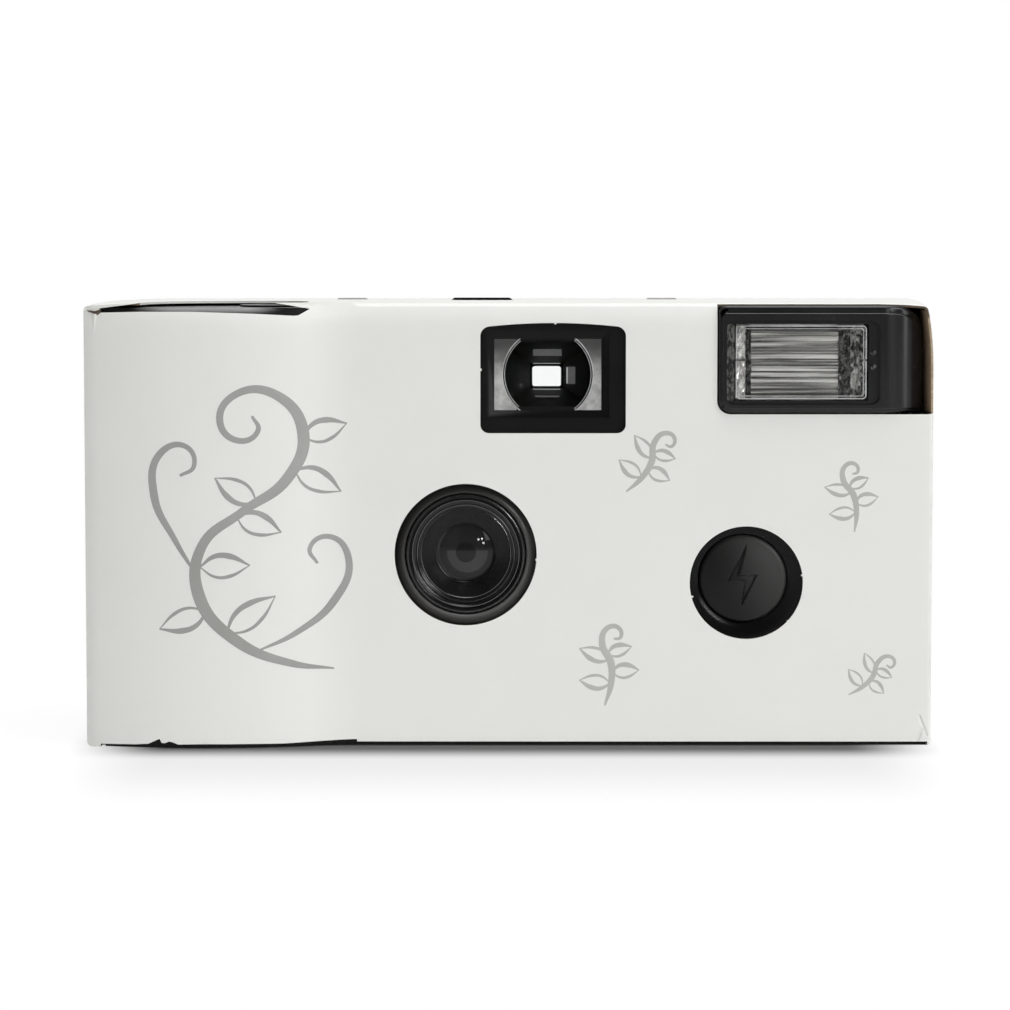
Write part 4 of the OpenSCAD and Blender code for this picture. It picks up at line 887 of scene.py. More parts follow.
    @staticmethod
    def choose_front(obj: bpy.types.Object) -> None:
        """Enter edit mode with only the faces that look to the front selected."""
        Bench.pick(obj)
        bpy.ops.object.mode_set(mode="EDIT")
        bpy.ops.mesh.select_mode(type="FACE")
        bpy.ops.mesh.select_all(action="DESELECT")
        mesh = bmesh.from_edit_mesh(obj.data)
        for face in mesh.faces:
            face.select = face.normal.y < -0.9
        bmesh.update_edit_mesh(obj.data)

    @staticmethod
    def face_out(obj: bpy.types.Object) -> None:
        """Turn an object's faces outwards."""
        Bench.edit(obj)
        bpy.ops.mesh.normals_make_consistent(inside=False)
        bpy.ops.object.mode_set(mode="OBJECT")

    @staticmethod
    def hang(name: str, data: bpy.types.ID) -> bpy.types.Object:
        """Put new data into the scene as an object and select it."""
        obj = bpy.data.objects.new(name, data)
        bpy.context.scene.collection.objects.link(obj)
        Bench.pick(obj)
        return obj

    @staticmethod
    def sheet(
        name: str,
        points: Sequence[Point],
        faces: Sequence[tuple[int, ...]],
        edges: Sequence[tuple[int, int]] = (),
    ) -> bpy.types.Object:
        """Make an open sheet or a chain of edges.

        Args:
            name: the object's name.
            points: its points, in millimetres.
            faces: the points of each face.
            edges: the points of each edge that has no face.

        Returns:
            The object.
        """
        mesh = bpy.data.meshes.new(name)
        mesh.from_pydata([[c * MM for c in p] for p in points], edges, faces)
        return Bench.hang(name, mesh)

    @staticmethod
    def outline(name: str, points: Sequence[Point]) -> bpy.types.Object:
        """Start a piece from an outline in millimetres, filled with one face."""
        return Bench.sheet(name, points, [tuple(range(len(points)))])

    @staticmethod
    def push(obj: bpy.types.Object, move: Point) -> None:
        """Extrude a flat outline into a block and turn its faces outwards."""
        Bench.edit(obj)
        bpy.ops.mesh.extrude_region_move(TRANSFORM_OT_translate={"value": [c * MM for c in move]})
        Bench.face_out(obj)

    @staticmethod
    def lathe(name: str, axis: Pair, profile: Sequence[Pair], steps: int) -> bpy.types.Object:
        """Spin a profile about an axis along Y into a closed ring.

        Args:
            name: the object's name.
            axis: the axis across and in height, in millimetres.
            profile: radius and depth of each point, in millimetres.
            steps: faces round the ring.

        Returns:
            The object.
        """
        x, z = axis
        chain = [(i, i + 1) for i in range(len(profile) - 1)]
        obj = Bench.sheet(name, [(x + r, y, z) for r, y in profile], [], chain)
        Bench.edit(obj)
        bpy.ops.mesh.spin(steps=steps, angle=2 * math.pi, center=(x * MM, 0, z * MM), axis=(0, 1, 0))
        bpy.ops.mesh.select_all(action="SELECT")
        bpy.ops.mesh.remove_doubles(threshold=0.002 * MM)
        Bench.face_out(obj)
        return obj

    @staticmethod
    def panel(
        name: str, low: Point, high: Point, radius: float, along: str = "Y", segments: int = 6
    ) -> bpy.types.Object:
        """Make a block with rounded edges along one axis.

        Args:
            name: the object's name.
            low: its lowest corner, in millimetres.
            high: its highest corner, in millimetres.
            radius: radius of the rounded edges.
            along: the axis that the rounded edges lie along.
            segments: faces across a rounded edge.

        Returns:
            The object.
        """
        obj = Bench.cube(name, low, high)
        axis = "XYZ".index(along)
        Bench.bevel(obj, radius, segments, lambda a, b: abs(a[axis] - b[axis]) > 0.03)
        return obj

    @staticmethod
    def copy_solid(node: bpy.types.Object, name: str) -> bpy.types.Object:
        """Copy a solid's mesh with its corners merged.

        Args:
            node: the solid.
            name: the copy's name.

        Returns:
            The copy.
        """
        obj = Bench.hang(name, node.data.copy())
        Bench.edit(obj)
        bpy.ops.mesh.remove_doubles(threshold=0.002 * MM)
        bpy.ops.object.mode_set(mode="OBJECT")
        return obj

    @staticmethod
    def dress(obj: bpy.types.Object, finish: Finish) -> None:
        """Give an object one finish."""
        if not obj.data.materials:
            obj.data.materials.append(finish.material())
        for place in obj.material_slots:
            place.material = finish.material()


@dataclass
class FrontPlan:
    """The front of the camera seen from above: a bulged grip that runs into a flat."""

    flat: float = -13.5
    grip_radius: float = 50.0
    grip_x: float = -41.0
    grip_y: float = 33.5
    blend_radius: float = 25.0
    blend_x: float = -20.0
    blend_y: float = -38.5
    meet_x: float = -27.0

    def depth(self, x: float) -> float:
        """Give the front's Y at a place across, in millimetres."""
        if x <= self.meet_x:
            return self.grip_y - math.sqrt(self.grip_radius**2 - (x - self.grip_x) ** 2)
        if x < self.blend_x:
            return self.blend_y + math.sqrt(self.blend_radius**2 - (x - self.blend_x) ** 2)
        return self.flat


@dataclass
class CardSleeve:
    """The folded card round the camera, with its cut-outs, nicks and folds showing wear."""

    plan: FrontPlan
    half_width: float = 57.5
    back: float = 16.5
    height: float = 60.0
    thickness: float = 0.3
    fold: float = 0.62
    droop: float = 0.45
    roll: float = 0.75
    crush: float = 0.85
    fold_x: float = -56.95
    side_bow: float = 0.75
    free_edge_x: float = -20.3
    nick_places: tuple[Span, ...] = (
        (6.5, 57.25, 0.34, 0.26),
        (-3.55, 51.0, 0.26, 0.34),
        (25.02, 20.3, 0.4, 0.24),
        (39.88, 23.2, 0.3, 0.26),
        (38.0, 17.0, 0.3, 0.22),
        (3.96, 25.3, 0.26, 0.34),
    )
    piece: bpy.types.Object | None = field(default=None, init=False)

    def build(self) -> bpy.types.Object:
        """Make the sleeve.

        Returns:
            The finished object.
        """
        obj = self._skin("sleeve_card", 0.0, CARD)
        inner = self._skin("sleeve_inside", self.thickness, KRAFT)
        Bench.edit(inner)
        bpy.ops.mesh.flip_normals()
        Bench.join(obj, [inner])
        edges = {"shoulder_top": CARD, "flash_top": SHADED_EDGE}
        for tool in self._openings():
            Bench.cut(obj, tool, edges.get(tool.name, CUT_EDGE))
        Bench.join(obj, [self._nick(i, *n) for i, n in enumerate(self.nick_places)])
        Bench.smooth(obj, 32)
        self.piece = obj
        return obj

    def _skin(self, name: str, inset: float, finish: Finish) -> bpy.types.Object:
        """Make one face of the card as a closed box.

        Args:
            name: the object's name.
            inset: how far it lies inside the card's outer face.
            finish: its finish.

        Returns:
            The object, with its faces outwards.
        """
        w, h, front = self.half_width - inset, self.height - inset, self.plan.flat + inset
        obj = Bench.cube(name, (-w, front, inset), (w, self.back - inset, h))
        Bench.slices(obj, 0, [-56 + 1.0 * i for i in range(37)] + [45, 50, 53, 55])
        Bench.slices(obj, 1, [-9, -4, 1, 6, 11])
        Bench.slices(obj, 2, [46, 49, 51, 53, 55, 56.5, 57.5, 58.4])
        for v in obj.data.vertices:
            x, y, _ = v.co / MM
            if y < front + 0.01:
                v.co.y = (self.plan.depth(x) + inset) * MM
                if x < -w + 0.01:
                    v.co.x = (self.fold_x + inset) * MM
            elif x < -w + 0.01:
                share = (y - front) / (self.back - inset - front)
                v.co.x = (self.fold_x + inset - self.side_bow * math.sin(math.pi * share)) * MM
        Bench.bevel(obj, self.fold - inset, 4, lambda a, b: self._is_fold(a, b, inset))
        self._wear(obj)
        obj.data.materials.append(finish.material())
        return obj

    def _wear(self, obj: bpy.types.Object) -> None:
        """Let the front roll back at the top, the left corner droop and the right corner lean in."""
        for v in obj.data.vertices:
            x, y, z = v.co / MM
            high = max(0.0, (z - 55.5) / 4.5)
            curl = max(0.0, (z - 57.0) / 3.0)
            near = max(0.0, min(1.0, (self.plan.flat + 4.0 - y) / 4.0))
            fall = max(0.0, min(1.0, (-46.0 - x) / 11.0))
            lean = max(0.0, (z - 51.0) / 9.0) * max(0.0, min(1.0, (6.0 - y) / 16.0))
            edge = max(0.0, min(1.0, (x - 50.0) / 7.0))
            v.co.y += self.roll * curl * curl * near * (1 - fall) * MM
            v.co.z -= (self.droop * fall * fall * high + 0.3 * lean * lean * edge * edge) * MM
            v.co.x -= self.crush * lean * lean * edge * MM

    def _is_fold(self, a: Vector, b: Vector, inset: float) -> bool:
        """Say whether an edge of the box is a fold of the card.

        Args:
            a: the edge's first end.
            b: its second end.
            inset: how far the box lies inside the card's outer face.

        Returns:
            True for a fold, False for a free edge or a flat.
        """
        ends = (a, b)
        front = all(p.y < self.plan.depth(p.x) + inset + 0.01 for p in ends)
        back = all(p.y > self.back - inset - 0.01 for p in ends)
        top = all(p.z > self.height - inset - 0.01 for p in ends)
        level = top or all(p.z < inset + 0.01 for p in ends)
        right = all(p.x > self.half_width - inset - 0.01 for p in ends)
        left = all(p.x < self.fold_x + inset + 0.01 for p in ends)
        upright = abs(a.z - b.z) > 0.3
        if upright:
            return (front or back) and (right or left)
        if front and level:
            return min(a.x, b.x) > self.free_edge_x - 0.4
        return level and (back or right or left)

    def _openings(self) -> list[bpy.types.Object]:
        """Make the shapes that are cut out of the card.

        Returns:
            The shapes, all in millimetres of the camera's frame.
        """
        front, rear = (-20.0, -12.7), (15.6, 17.0)
        made = [
            Bench.barrel("lens_hole", (LENS_AXIS[0], -15.0, LENS_AXIS[1]), 9.6, 6.0, "Y", 128),
            Bench.barrel("button_hole", (32.35, -15.0, 22.2), 7.65, 6.0, "Y", 96),
            self._finder_hole(front),
            Bench.cube("flash_top", (28.3, front[0], 58.0), (57.0, front[1], 62.0)),
            Bench.panel("flash_hole", (28.3, front[0], 45.0), (58.5, front[1], 62.0), 1.8),
            self._shoulder(),
            self._shoulder_top(),
            Bench.panel("counter_slot", (-7.8, 3.75, 59.0), (0.8, 8.35, 61.0), 1.4, "Z"),
            Bench.panel("slit_left", (-23.9, 8.75, 59.0), (-19.5, 9.35, 61.0), 0.2, "Z"),
            Bench.panel("slit_right", (19.5, 8.75, 59.0), (23.9, 9.35, 61.0), 0.2, "Z"),
            Bench.panel("thumb_hole", (-53.5, rear[0], 49.4), (-28.5, rear[1], 57.3), 1.8),
            Bench.panel("eye_hole", (0.2, rear[0], 46.0), (10.8, rear[1], 54.6), 1.8),
            Bench.barrel("lamp_hole", (15.0, 16.3, 50.3), 1.9, 2.0, "Y", 48),
            self._free_bottom(),
        ]
        return made

    def _shoulder(self) -> bpy.types.Object:
        """Make the crescent that is cut out of the front below the top fold."""
        corners = [
            (-54.7, 58.72), (-49.0, 58.86), (-42.0, 58.86), (-34.0, 58.6), (-28.6, 58.3), (-28.0, 58.36),
            (-26.5, 59.2), (-29.0, 59.68), (-33.0, 60.3), (-46.0, 60.6), (-50.0, 59.9), (-54.7, 59.3),
        ]
        obj = Bench.outline("shoulder_front", [(x, -20.0, z) for x, z in corners])
        Bench.push(obj, (0, 8.0, 0))
        return obj

    def _shoulder_top(self) -> bpy.types.Object:
        """Make the cut in the top round the shutter button."""
        corners = [
            (-49.5, -20.0), (-33.0, -20.0), (-31.5, -12.2), (-27.6, -11.4), (-27.1, -10.0), (-27.0, -6.0),
            (-27.3, -4.4), (-28.4, -2.6), (-30.0, -1.5), (-32.0, -1.0),
        ]
        for i in range(13):
            angle = math.radians(7.5 * i)
            corners.append((-35.0 - 14.5 * math.sin(angle), -11.5 + 10.5 * math.cos(angle)))
        obj = Bench.outline("shoulder_top", [(x, y, 58.9) for x, y in corners])
        Bench.push(obj, (0, 0, 2.5))
        return obj

    def _free_bottom(self) -> bpy.types.Object:
        """Make the cut below the front's free lower edge, with a torn place at the left."""
        corners = [
            (-55.0, 0.42), (-50.0, 0.5), (-48.4, 0.62), (-47.6, 1.0), (-46.9, 1.3), (-46.6, 0.75),
            (-46.2, 0.72), (-45.6, 0.95), (-45.1, 0.85), (-44.4, 0.56), (-41.2, 0.62), (-35.6, 0.6),
            (-30.1, 0.56), (-26.5, 0.68), (-23.2, 0.82), (-20.4, 0.92), (-20.3, 0.58), (57.0, 0.56),
            (57.0, -1.0), (-55.0, -1.0),
        ]
        obj = Bench.outline("free_bottom", [(x, -20.0, z) for x, z in corners])
        Bench.push(obj, (0, 7.4, 0))
        return obj

    def top_tabs(self) -> bpy.types.Object:
        """Make the ends of the two locking tabs, which stand a little out of their slits.

        Returns:
            The finished object.
        """
        made = []
        for i, x in enumerate((-21.7, 21.7)):
            tab = Bench.cube(f"tab_{i}", (x - 2.1, 8.95, 59.7), (x + 2.1, 9.2, 60.2))
            Bench.bevel(tab, 0.24, 4, lambda a, b: min(a.z, b.z) > 60.15 and abs(a.y - b.y) > 0.1)
            Bench.dress(tab, TAB_EDGE)
            made.append(tab)
        return Bench.gather("top_tabs", made)

    def counter_rim(self) -> bpy.types.Object:
        """Make the black rim of the counter's window, which stands a little out of the slot.

        Returns:
            The finished object.
        """
        obj = Bench.cube("counter_rim", (-7.75, 7.9, 59.4), (0.75, 8.3, 60.26))
        Bench.bevel(obj, 0.5, 4, lambda a, b: min(a.z, b.z) > 60.2 and abs(a.y - b.y) > 0.1)
        Bench.dress(obj, BLACK)
        return obj

    def grip_shoulder(self) -> bpy.types.Object:
        """Make the rounded upper edge of the grip's moulding, which shows in the crescent, with a painted
        highlight in its middle.

        Returns:
            The finished object.
        """
        turns = [math.radians(15 * i) for i in range(7)]
        points = []
        columns = 57
        for i in range(columns):
            x = -54.6 + 0.5 * i
            swell = max(0.0, min(1.0, (x + 52.0) / 8.0, (-28.0 - x) / 6.0))
            for angle in turns:
                back = 0.4 + 1.3 * swell * (1 - math.cos(angle)) + 0.1 * math.sin(angle)
                points.append((x, self.plan.depth(x) + back, 58.0 + 1.36 * math.sin(angle)))
        rows = len(turns)
        faces = []
        for i in range(columns - 1):
            for j in range(rows - 1):
                first = i * rows + j
                faces.append((first, first + rows, first + rows + 1, first + 1))
        obj = Bench.sheet("grip_shoulder", points, faces)
        Bench.dress(obj, SHOULDER_PAINTED_SHEEN)
        Bench.smooth(obj, 50)
        return obj

    def corner_tear_shadow(self) -> bpy.types.Object:
        """Make the dark gap under the crumpled top left corner, a painted shadow.

        Returns:
            The finished object.
        """
        sides = [
            (-56.5, 58.98), (-55.9, 58.72), (-55.3, 58.5), (-55.05, 58.34),
            (-54.5, 58.72), (-54.5, 59.2), (-55.3, 58.92), (-55.9, 59.0),
        ]
        obj = Bench.outline("corner_tear_shadow", [(x, self.plan.depth(x) - 0.03, z) for x, z in sides])
        Bench.push(obj, (0, 0.1, 0))
        Bench.dress(obj, SHADED_EDGE)
        return obj

    def corner_fold(self) -> bpy.types.Object:
        """Make the small white pleat in the top left corner.

        Returns:
            The finished object.
        """
        sides = [(-56.3, 58.7), (-54.75, 58.6), (-55.75, 53.4)]
        corners = [(x, self.plan.depth(x) + 0.12, z) for x, z in sides]
        tip = (-55.35, self.plan.depth(-55.35) - 0.14, 58.5)
        obj = Bench.sheet("corner_fold", [*corners, tip], [(0, 1, 2), (0, 1, 3), (1, 2, 3), (2, 0, 3)])
        Bench.face_out(obj)
        Bench.dress(obj, CARD)
        return obj

    def side_flap(self) -> bpy.types.Object:
        """Make the bare inner face of the side panel that leans in beside the flash.

        Returns:
            The finished object.
        """
        corners = [(57.15, -12.6), (57.08, -12.5), (56.62, -7.2), (56.8, -7.0)]
        obj = Bench.outline("side_flap", [(x, y, 45.3) for x, y in corners])
        Bench.push(obj, (0, 0, 13.9))
        Bench.slices(obj, 2, [51, 53, 55, 57])
        self._wear(obj)
        Bench.dress(obj, KRAFT)
        return obj

    def grip_foot_shadow(self) -> bpy.types.Object:
        """Make the dark strip along the foot: under the grip it is the moulding's underside, darkened as
        painted shade, and along the rest of the lower edge it is a painted contact shadow.

        Returns:
            The finished object.
        """
        across = [-54.4 + 1.4 * i for i in range(25)]
        corners = [(x, self.plan.depth(x) + 0.5, 0.06) for x in across + [56.8]]
        corners += [(56.8, -12.2, 0.06), (across[0], -12.2, 0.06)]
        obj = Bench.outline("grip_foot_shadow", corners)
        Bench.push(obj, (0, 0, 1.5))
        Bench.dress(obj, SHADE_DARK_BLACK)
        return obj

    def _finder_hole(self, depth: Pair) -> bpy.types.Object:
        """Make the viewfinder's opening, whose upper edge is bowed.

        Args:
            depth: the opening's reach along Y.

        Returns:
            The object.
        """
        low, high = (-3.6, depth[0], 42.45), (16.0, depth[1], 56.7)
        obj = Bench.panel("finder_hole", low, high, 1.15)
        middle, half = (low[0] + high[0]) / 2, (high[0] - low[0]) / 2
        Bench.slices(obj, 0, [middle + half * (i / 6) for i in range(-4, 5)])
        for v in obj.data.vertices:
            x, _, z = v.co / MM
            if z > high[2] - 2.0:
                v.co.z += 0.6 * (1 - ((x - middle) / half) ** 2) * MM
        return obj

    def _nick(self, index: int, x: float, z: float, wide: float, tall: float) -> bpy.types.Object:
        """Make one burr that the cutting die left in an opening.

        Args:
            index: its number.
            x: its middle across.
            z: its middle in height.
            wide: its width.
            tall: its height.

        Returns:
            The object.
        """
        y = self.plan.flat
        low, high = (x - wide / 2, y + 0.03, z - tall / 2), (x + wide / 2, y + 0.4, z + tall / 2)
        obj = Bench.cube(f"nick_{index}", low, high)
        Bench.bevel(obj, 0.1, 2, lambda a, b: True)
        obj.data.materials.append(CARD.material())
        return obj


@dataclass
class Stroke:
    """One brush stroke: points across and in height with a radius at each, in millimetres."""

    points: Sequence[tuple[float, float, float]]


@dataclass
class PrintedSprigs:
    """Leafy scrolls printed on the front of the sleeve."""

    plan: FrontPlan
    film: float = 0.05

    def leaf(self, base: Pair, tip: Pair, half: float, weight: float) -> list[Stroke]:
        """Give a leaf drawn in outline.

        Args:
            base: where it leaves the stem.
            tip: its point.
            half: half its width.
            weight: radius of the line at its thickest.

        Returns:
            Its two edges.
        """
        run, rise = tip[0] - base[0], tip[1] - base[1]
        length = math.hypot(run, rise)
        made = []
        for side, heavy in ((1, 1.0), (-1, 0.6)):
            line = []
            for share, out, thick in ((0.0, 0.0, 0.3), (0.3, 0.92, 0.8), (0.6, 0.9, 1.0), (1.0, 0.0, 0.25)):
                x = base[0] + run * share - side * half * out * rise / length
                z = base[1] + rise * share + side * half * out * run / length
                line.append((x, z, weight * heavy * thick))
            made.append(Stroke(line))
        return made

    def large(self) -> list[Stroke]:
        """Give the large vine on the grip."""
        stems = [
            Stroke([(-23.4, 10.6, 0.12), (-29.0, 11.4, 0.5), (-36.4, 14.6, 0.8), (-41.4, 20.6, 0.88),
                    (-41.0, 27.4, 0.7), (-35.6, 32.0, 0.6), (-29.6, 36.4, 0.78), (-27.4, 42.4, 0.85),
                    (-30.8, 47.6, 0.66), (-36.2, 47.9, 0.5), (-38.5, 44.3, 0.5), (-36.0, 41.6, 0.42),
                    (-33.4, 43.0, 0.36), (-34.2, 44.9, 0.2)]),
            Stroke([(-41.4, 23.0, 0.12), (-44.6, 28.2, 0.4), (-47.4, 34.2, 0.58), (-46.6, 39.8, 0.5),
                    (-43.2, 40.9, 0.36), (-42.0, 38.2, 0.32), (-43.9, 36.9, 0.2)]),
            Stroke([(-33.6, 13.2, 0.12), (-28.4, 15.6, 0.4), (-23.4, 19.8, 0.58), (-21.4, 25.4, 0.5),
                    (-23.9, 28.5, 0.36), (-26.6, 27.0, 0.32), (-25.6, 24.9, 0.2)]),
        ]
        leaves = [
            ((-37.8, 15.6), (-31.2, 20.6), 1.5), ((-41.3, 24.6), (-34.6, 24.8), 1.5),
            ((-36.4, 31.4), (-30.4, 29.2), 1.4), ((-33.6, 33.2), (-39.2, 36.6), 1.4),
            ((-28.6, 37.6), (-22.4, 34.6), 1.4), ((-27.5, 42.0), (-21.6, 43.8), 1.4),
            ((-40.4, 18.6), (-46.8, 16.2), 1.4),
        ]
        for base, tip, half in leaves:
            stems += self.leaf(base, tip, half, 0.42)
        return stems

    def small(self, x: float, z: float, size: float, lean: float) -> list[Stroke]:
        """Give a small sprig.

        Args:
            x: its middle across.
            z: its middle in height.
            size: its height.
            lean: its turn, in degrees.

        Returns:
            Its strokes.
        """
        stem = [(-0.16, -0.50, 0.012), (-0.02, -0.26, 0.042), (0.05, 0.02, 0.05), (0.00, 0.28, 0.045),
                (0.10, 0.46, 0.036), (0.25, 0.44, 0.03), (0.25, 0.31, 0.024), (0.16, 0.31, 0.014)]
        leaves = [((-0.02, -0.24), (-0.40, -0.10), 0.085), ((0.03, -0.10), (0.38, -0.16), 0.085),
                  ((0.05, 0.06), (-0.30, 0.30), 0.08), ((0.03, 0.14), (0.36, 0.16), 0.07)]
        made = [Stroke(stem)]
        for base, tip, half in leaves:
            made += self.leaf(base, tip, half, 0.034)
        c, s = math.cos(math.radians(lean)), math.sin(math.radians(lean))
        turned = []
        for stroke in made:
            points = [(u * c - v * s, u * s + v * c, r) for u, v, r in stroke.points]
            turned.append(Stroke([(x + size * u, z + size * v, r * size) for u, v, r in points]))
        return turned

    def build(self, name: str, strokes: Sequence[Stroke], ink: Ink) -> bpy.types.Object:
        """Lay strokes on the sleeve as a thin film of ink.

        Args:
            name: the piece's name.
            strokes: the brush strokes.
            ink: the strength of the print.

        Returns:
            The finished object.
        """
        curve = bpy.data.curves.new(name, "CURVE")
        curve.dimensions = "3D"
        curve.bevel_depth = 1.0 * MM
        curve.bevel_resolution = 3
        curve.resolution_u = 10
        curve.use_fill_caps = True
        for stroke in strokes:
            line = curve.splines.new("BEZIER")
            line.bezier_points.add(len(stroke.points) - 1)
            for knot, (x, z, radius) in zip(line.bezier_points, stroke.points):
                knot.co = (x * MM, 0, z * MM)
                knot.radius = radius
                knot.handle_left_type = "AUTO"
                knot.handle_right_type = "AUTO"
        Bench.hang(name, curve)
        bpy.ops.object.convert(target="MESH")
        obj = bpy.context.object
        for v in obj.data.vertices:
            lift = max(-1.0, min(1.0, v.co.y / (0.5 * MM)))
            v.co.y = (self.plan.depth(v.co.x / MM) + self.film * 0.5 * (lift - 0.4)) * MM
        Bench.dress(obj, ink.value)
        Bench.smooth(obj, 60)
        return obj


@dataclass
class FlashButton:
    """The round button on the front, with a sunken flash sign, and the dark well it sits in."""

    node: bpy.types.Object
    axis: Pair = (31.9, 22.7)
    sign: tuple[Pair, ...] = (
        (32.45, 27.5), (29.8, 22.3), (32.2, 22.35), (31.7, 18.9), (33.9, 23.3), (31.35, 23.25),
    )
    front: float = -13.4
    radius: float = 6.0
    swell: float = 27.0
    round_edge: float = 0.8
    back: float = -11.6
    sink: float = 0.26
    wall: float = 0.2

    def build(self) -> bpy.types.Object:
        """Make the button from its solid, with a domed face and the sunken sign.

        Returns:
            The finished object.
        """
        obj = Bench.copy_solid(self.node, "button_with_sign")
        Bench.dress(obj, BUTTON)
        Bench.cut(obj, Bench.cube("face_room", (20, -16, 10), (45, self.back - 0.1, 35)), BUTTON)
        cap = Bench.lathe("button_cap", self.axis, self._dome(), 96)
        Bench.dress(cap, BUTTON)
        Bench.cut(cap, self._stamp(), BUTTON)
        Bench.join(obj, [cap])
        Bench.smooth(obj, 14)
        return obj

    def _stamp(self) -> bpy.types.Object:
        """Make the tapering block that presses the sign into the dome.

        Returns:
            The block, whose floor follows the dome.
        """
        count = len(self.sign)
        above, below = [], []
        for i, (x, z) in enumerate(self.sign):
            before, after = Vector(self.sign[i - 1]), Vector(self.sign[(i + 1) % count])
            here = Vector((x, z))
            first, second = (here - before).normalized(), (after - here).normalized()
            inward = Vector((-first.y - second.y, first.x + second.x)).normalized()
            share = max(0.25, inward.dot(Vector((-first.y, first.x))))
            shift = inward * (self.wall / share)
            off = (here - Vector(self.axis)).length
            face = self.front + self.swell - math.sqrt(self.swell**2 - off * off)
            below.append((x + shift.x, face + self.sink, z + shift.y))
            above.append((x - shift.x * 1.5, face - self.sink * 1.5, z - shift.y * 1.5))
        thirds = [(0, 1, 5), (1, 2, 5), (2, 3, 4), (2, 4, 5)]
        faces = thirds + [tuple(count + k for k in third) for third in thirds]
        faces += [(i, (i + 1) % count, count + (i + 1) % count, count + i) for i in range(count)]
        obj = Bench.sheet("sign_stamp", above + below, faces)
        Bench.face_out(obj)
        return obj

    def _dome(self) -> list[Pair]:
        """Give the profile of the face: a shallow dome with a rounded edge.

        Returns:
            Radius and depth of each point, from the middle of the face to the middle of its back.
        """
        flat = self.radius - self.round_edge
        line = []
        for i in range(9):
            r = flat * i / 8
            line.append((r, self.front + self.swell - math.sqrt(self.swell**2 - r * r)))
        low = line[-1][1] + self.round_edge
        for i in range(1, 13):
            angle = math.radians(7.5 * i)
            line.append((flat + self.round_edge * math.sin(angle), low - self.round_edge * math.cos(angle)))
        return line + [(self.radius, self.back), (0.0, self.back)]

    def well(self) -> bpy.types.Object:
        """Make the sloping dark ring round the button, darkened as painted shade in the well.

        Returns:
            The finished object.
        """
        profile = [
            (8.6, -12.86), (8.6, -13.06), (8.2, -13.1), (7.4, -13.02),
            (6.8, -12.94), (6.3, -12.88), (6.12, -12.78), (6.12, -12.6),
        ]
        obj = Bench.lathe("button_well", self.axis, profile, 72)
        Bench.dress(obj, SHADE_DARK_BLACK)
        Bench.smooth(obj, 30)
        return obj


@dataclass
class LensRing:
    """The stepped ring that holds the lens, with rounded rims that carry a painted highlight and a finely
    ridged cone.
    """

    axis: Pair = LENS_AXIS
    rims: tuple[Pair, ...] = (
        (8.14, -10.6), (8.14, -11.96), (8.085, -12.07), (8.014, -12.149), (7.935, -12.207), (7.845, -12.247),
        (7.741, -12.268), (7.68, -12.25), (7.62, -12.1), (7.6, -11.72), (7.56, -11.68), (7.5, -11.56),
        (7.44, -11.54), (7.38, -11.66), (7.3, -11.72), (7.18, -11.72), (7.08, -11.64), (7.04, -11.3),
        (6.96, -11.24), (6.78, -11.22), (6.72, -11.28), (6.62, -11.32), (6.52, -11.28), (6.46, -11.16),
        (6.44, -10.95), (6.36, -10.9), (6.24, -10.88), (6.18, -10.94), (6.08, -10.96), (6.0, -10.9),
    )
    cone: tuple[Pair, Pair] = ((5.9, -10.7), (4.06, -9.5))
    painted_highlight_radii: tuple[float, ...] = (8.06, 7.92, 7.24, 6.62, 6.1)
    ridges: int = 13
    ridge: float = 0.035
    throat: tuple[Pair, ...] = ((3.98, -9.46), (3.97, -8.9), (4.4, -8.6), (7.6, -8.6), (7.6, -10.6))

    def build(self) -> bpy.types.Object:
        """Make the ring by turning its profile.

        Returns:
            The finished object.
        """
        profile = list(self.rims)
        (r0, y0), (r1, y1) = self.cone
        for i in range(self.ridges * 2 + 1):
            share = i / (self.ridges * 2)
            out = self.ridge if i % 2 else 0.0
            profile.append((r0 + (r1 - r0) * share, y0 + (y1 - y0) * share - out))
        profile += list(self.throat) + [self.rims[0]]
        x, z = self.axis
        obj = Bench.lathe("lens_ring", self.axis, profile, 128)
        Bench.dress(obj, GLOSS)
        obj.data.materials.append(PAINTED_RIM_HIGHLIGHT.material())
        # faces on the listed radii get the lighter rim finish, a painted highlight
        for face in obj.data.polygons:
            off = math.hypot(face.center.x / MM - x, face.center.z / MM - z)
            front = face.center.y < -10.85 * MM
            if front and any(abs(off - rim) < 0.08 for rim in self.painted_highlight_radii):
                face.material_index = 1
        Bench.smooth(obj, 35)
        return obj


@dataclass
class TakingLens:
    """The front lens: a smooth dome whose finish paints the table's reflection in its lower half."""

    axis: Pair = LENS_AXIS
    radius: float = 3.95
    apex: float = -9.97
    curve: float = 9.0

    def build(self) -> bpy.types.Object:
        """Make the dome by turning its profile.

        Returns:
            The finished object.
        """
        line = []
        for i in range(17):
            r = self.radius * i / 16
            line.append((r, self.apex + self.curve - math.sqrt(self.curve**2 - r * r)))
        line += [(self.radius, self.apex + 1.6), (0.0, self.apex + 1.6)]
        obj = Bench.lathe("lens_dome", self.axis, line, 128)
        Bench.dress(obj, LENS_GLASS)
        Bench.smooth(obj, 30)
        return obj


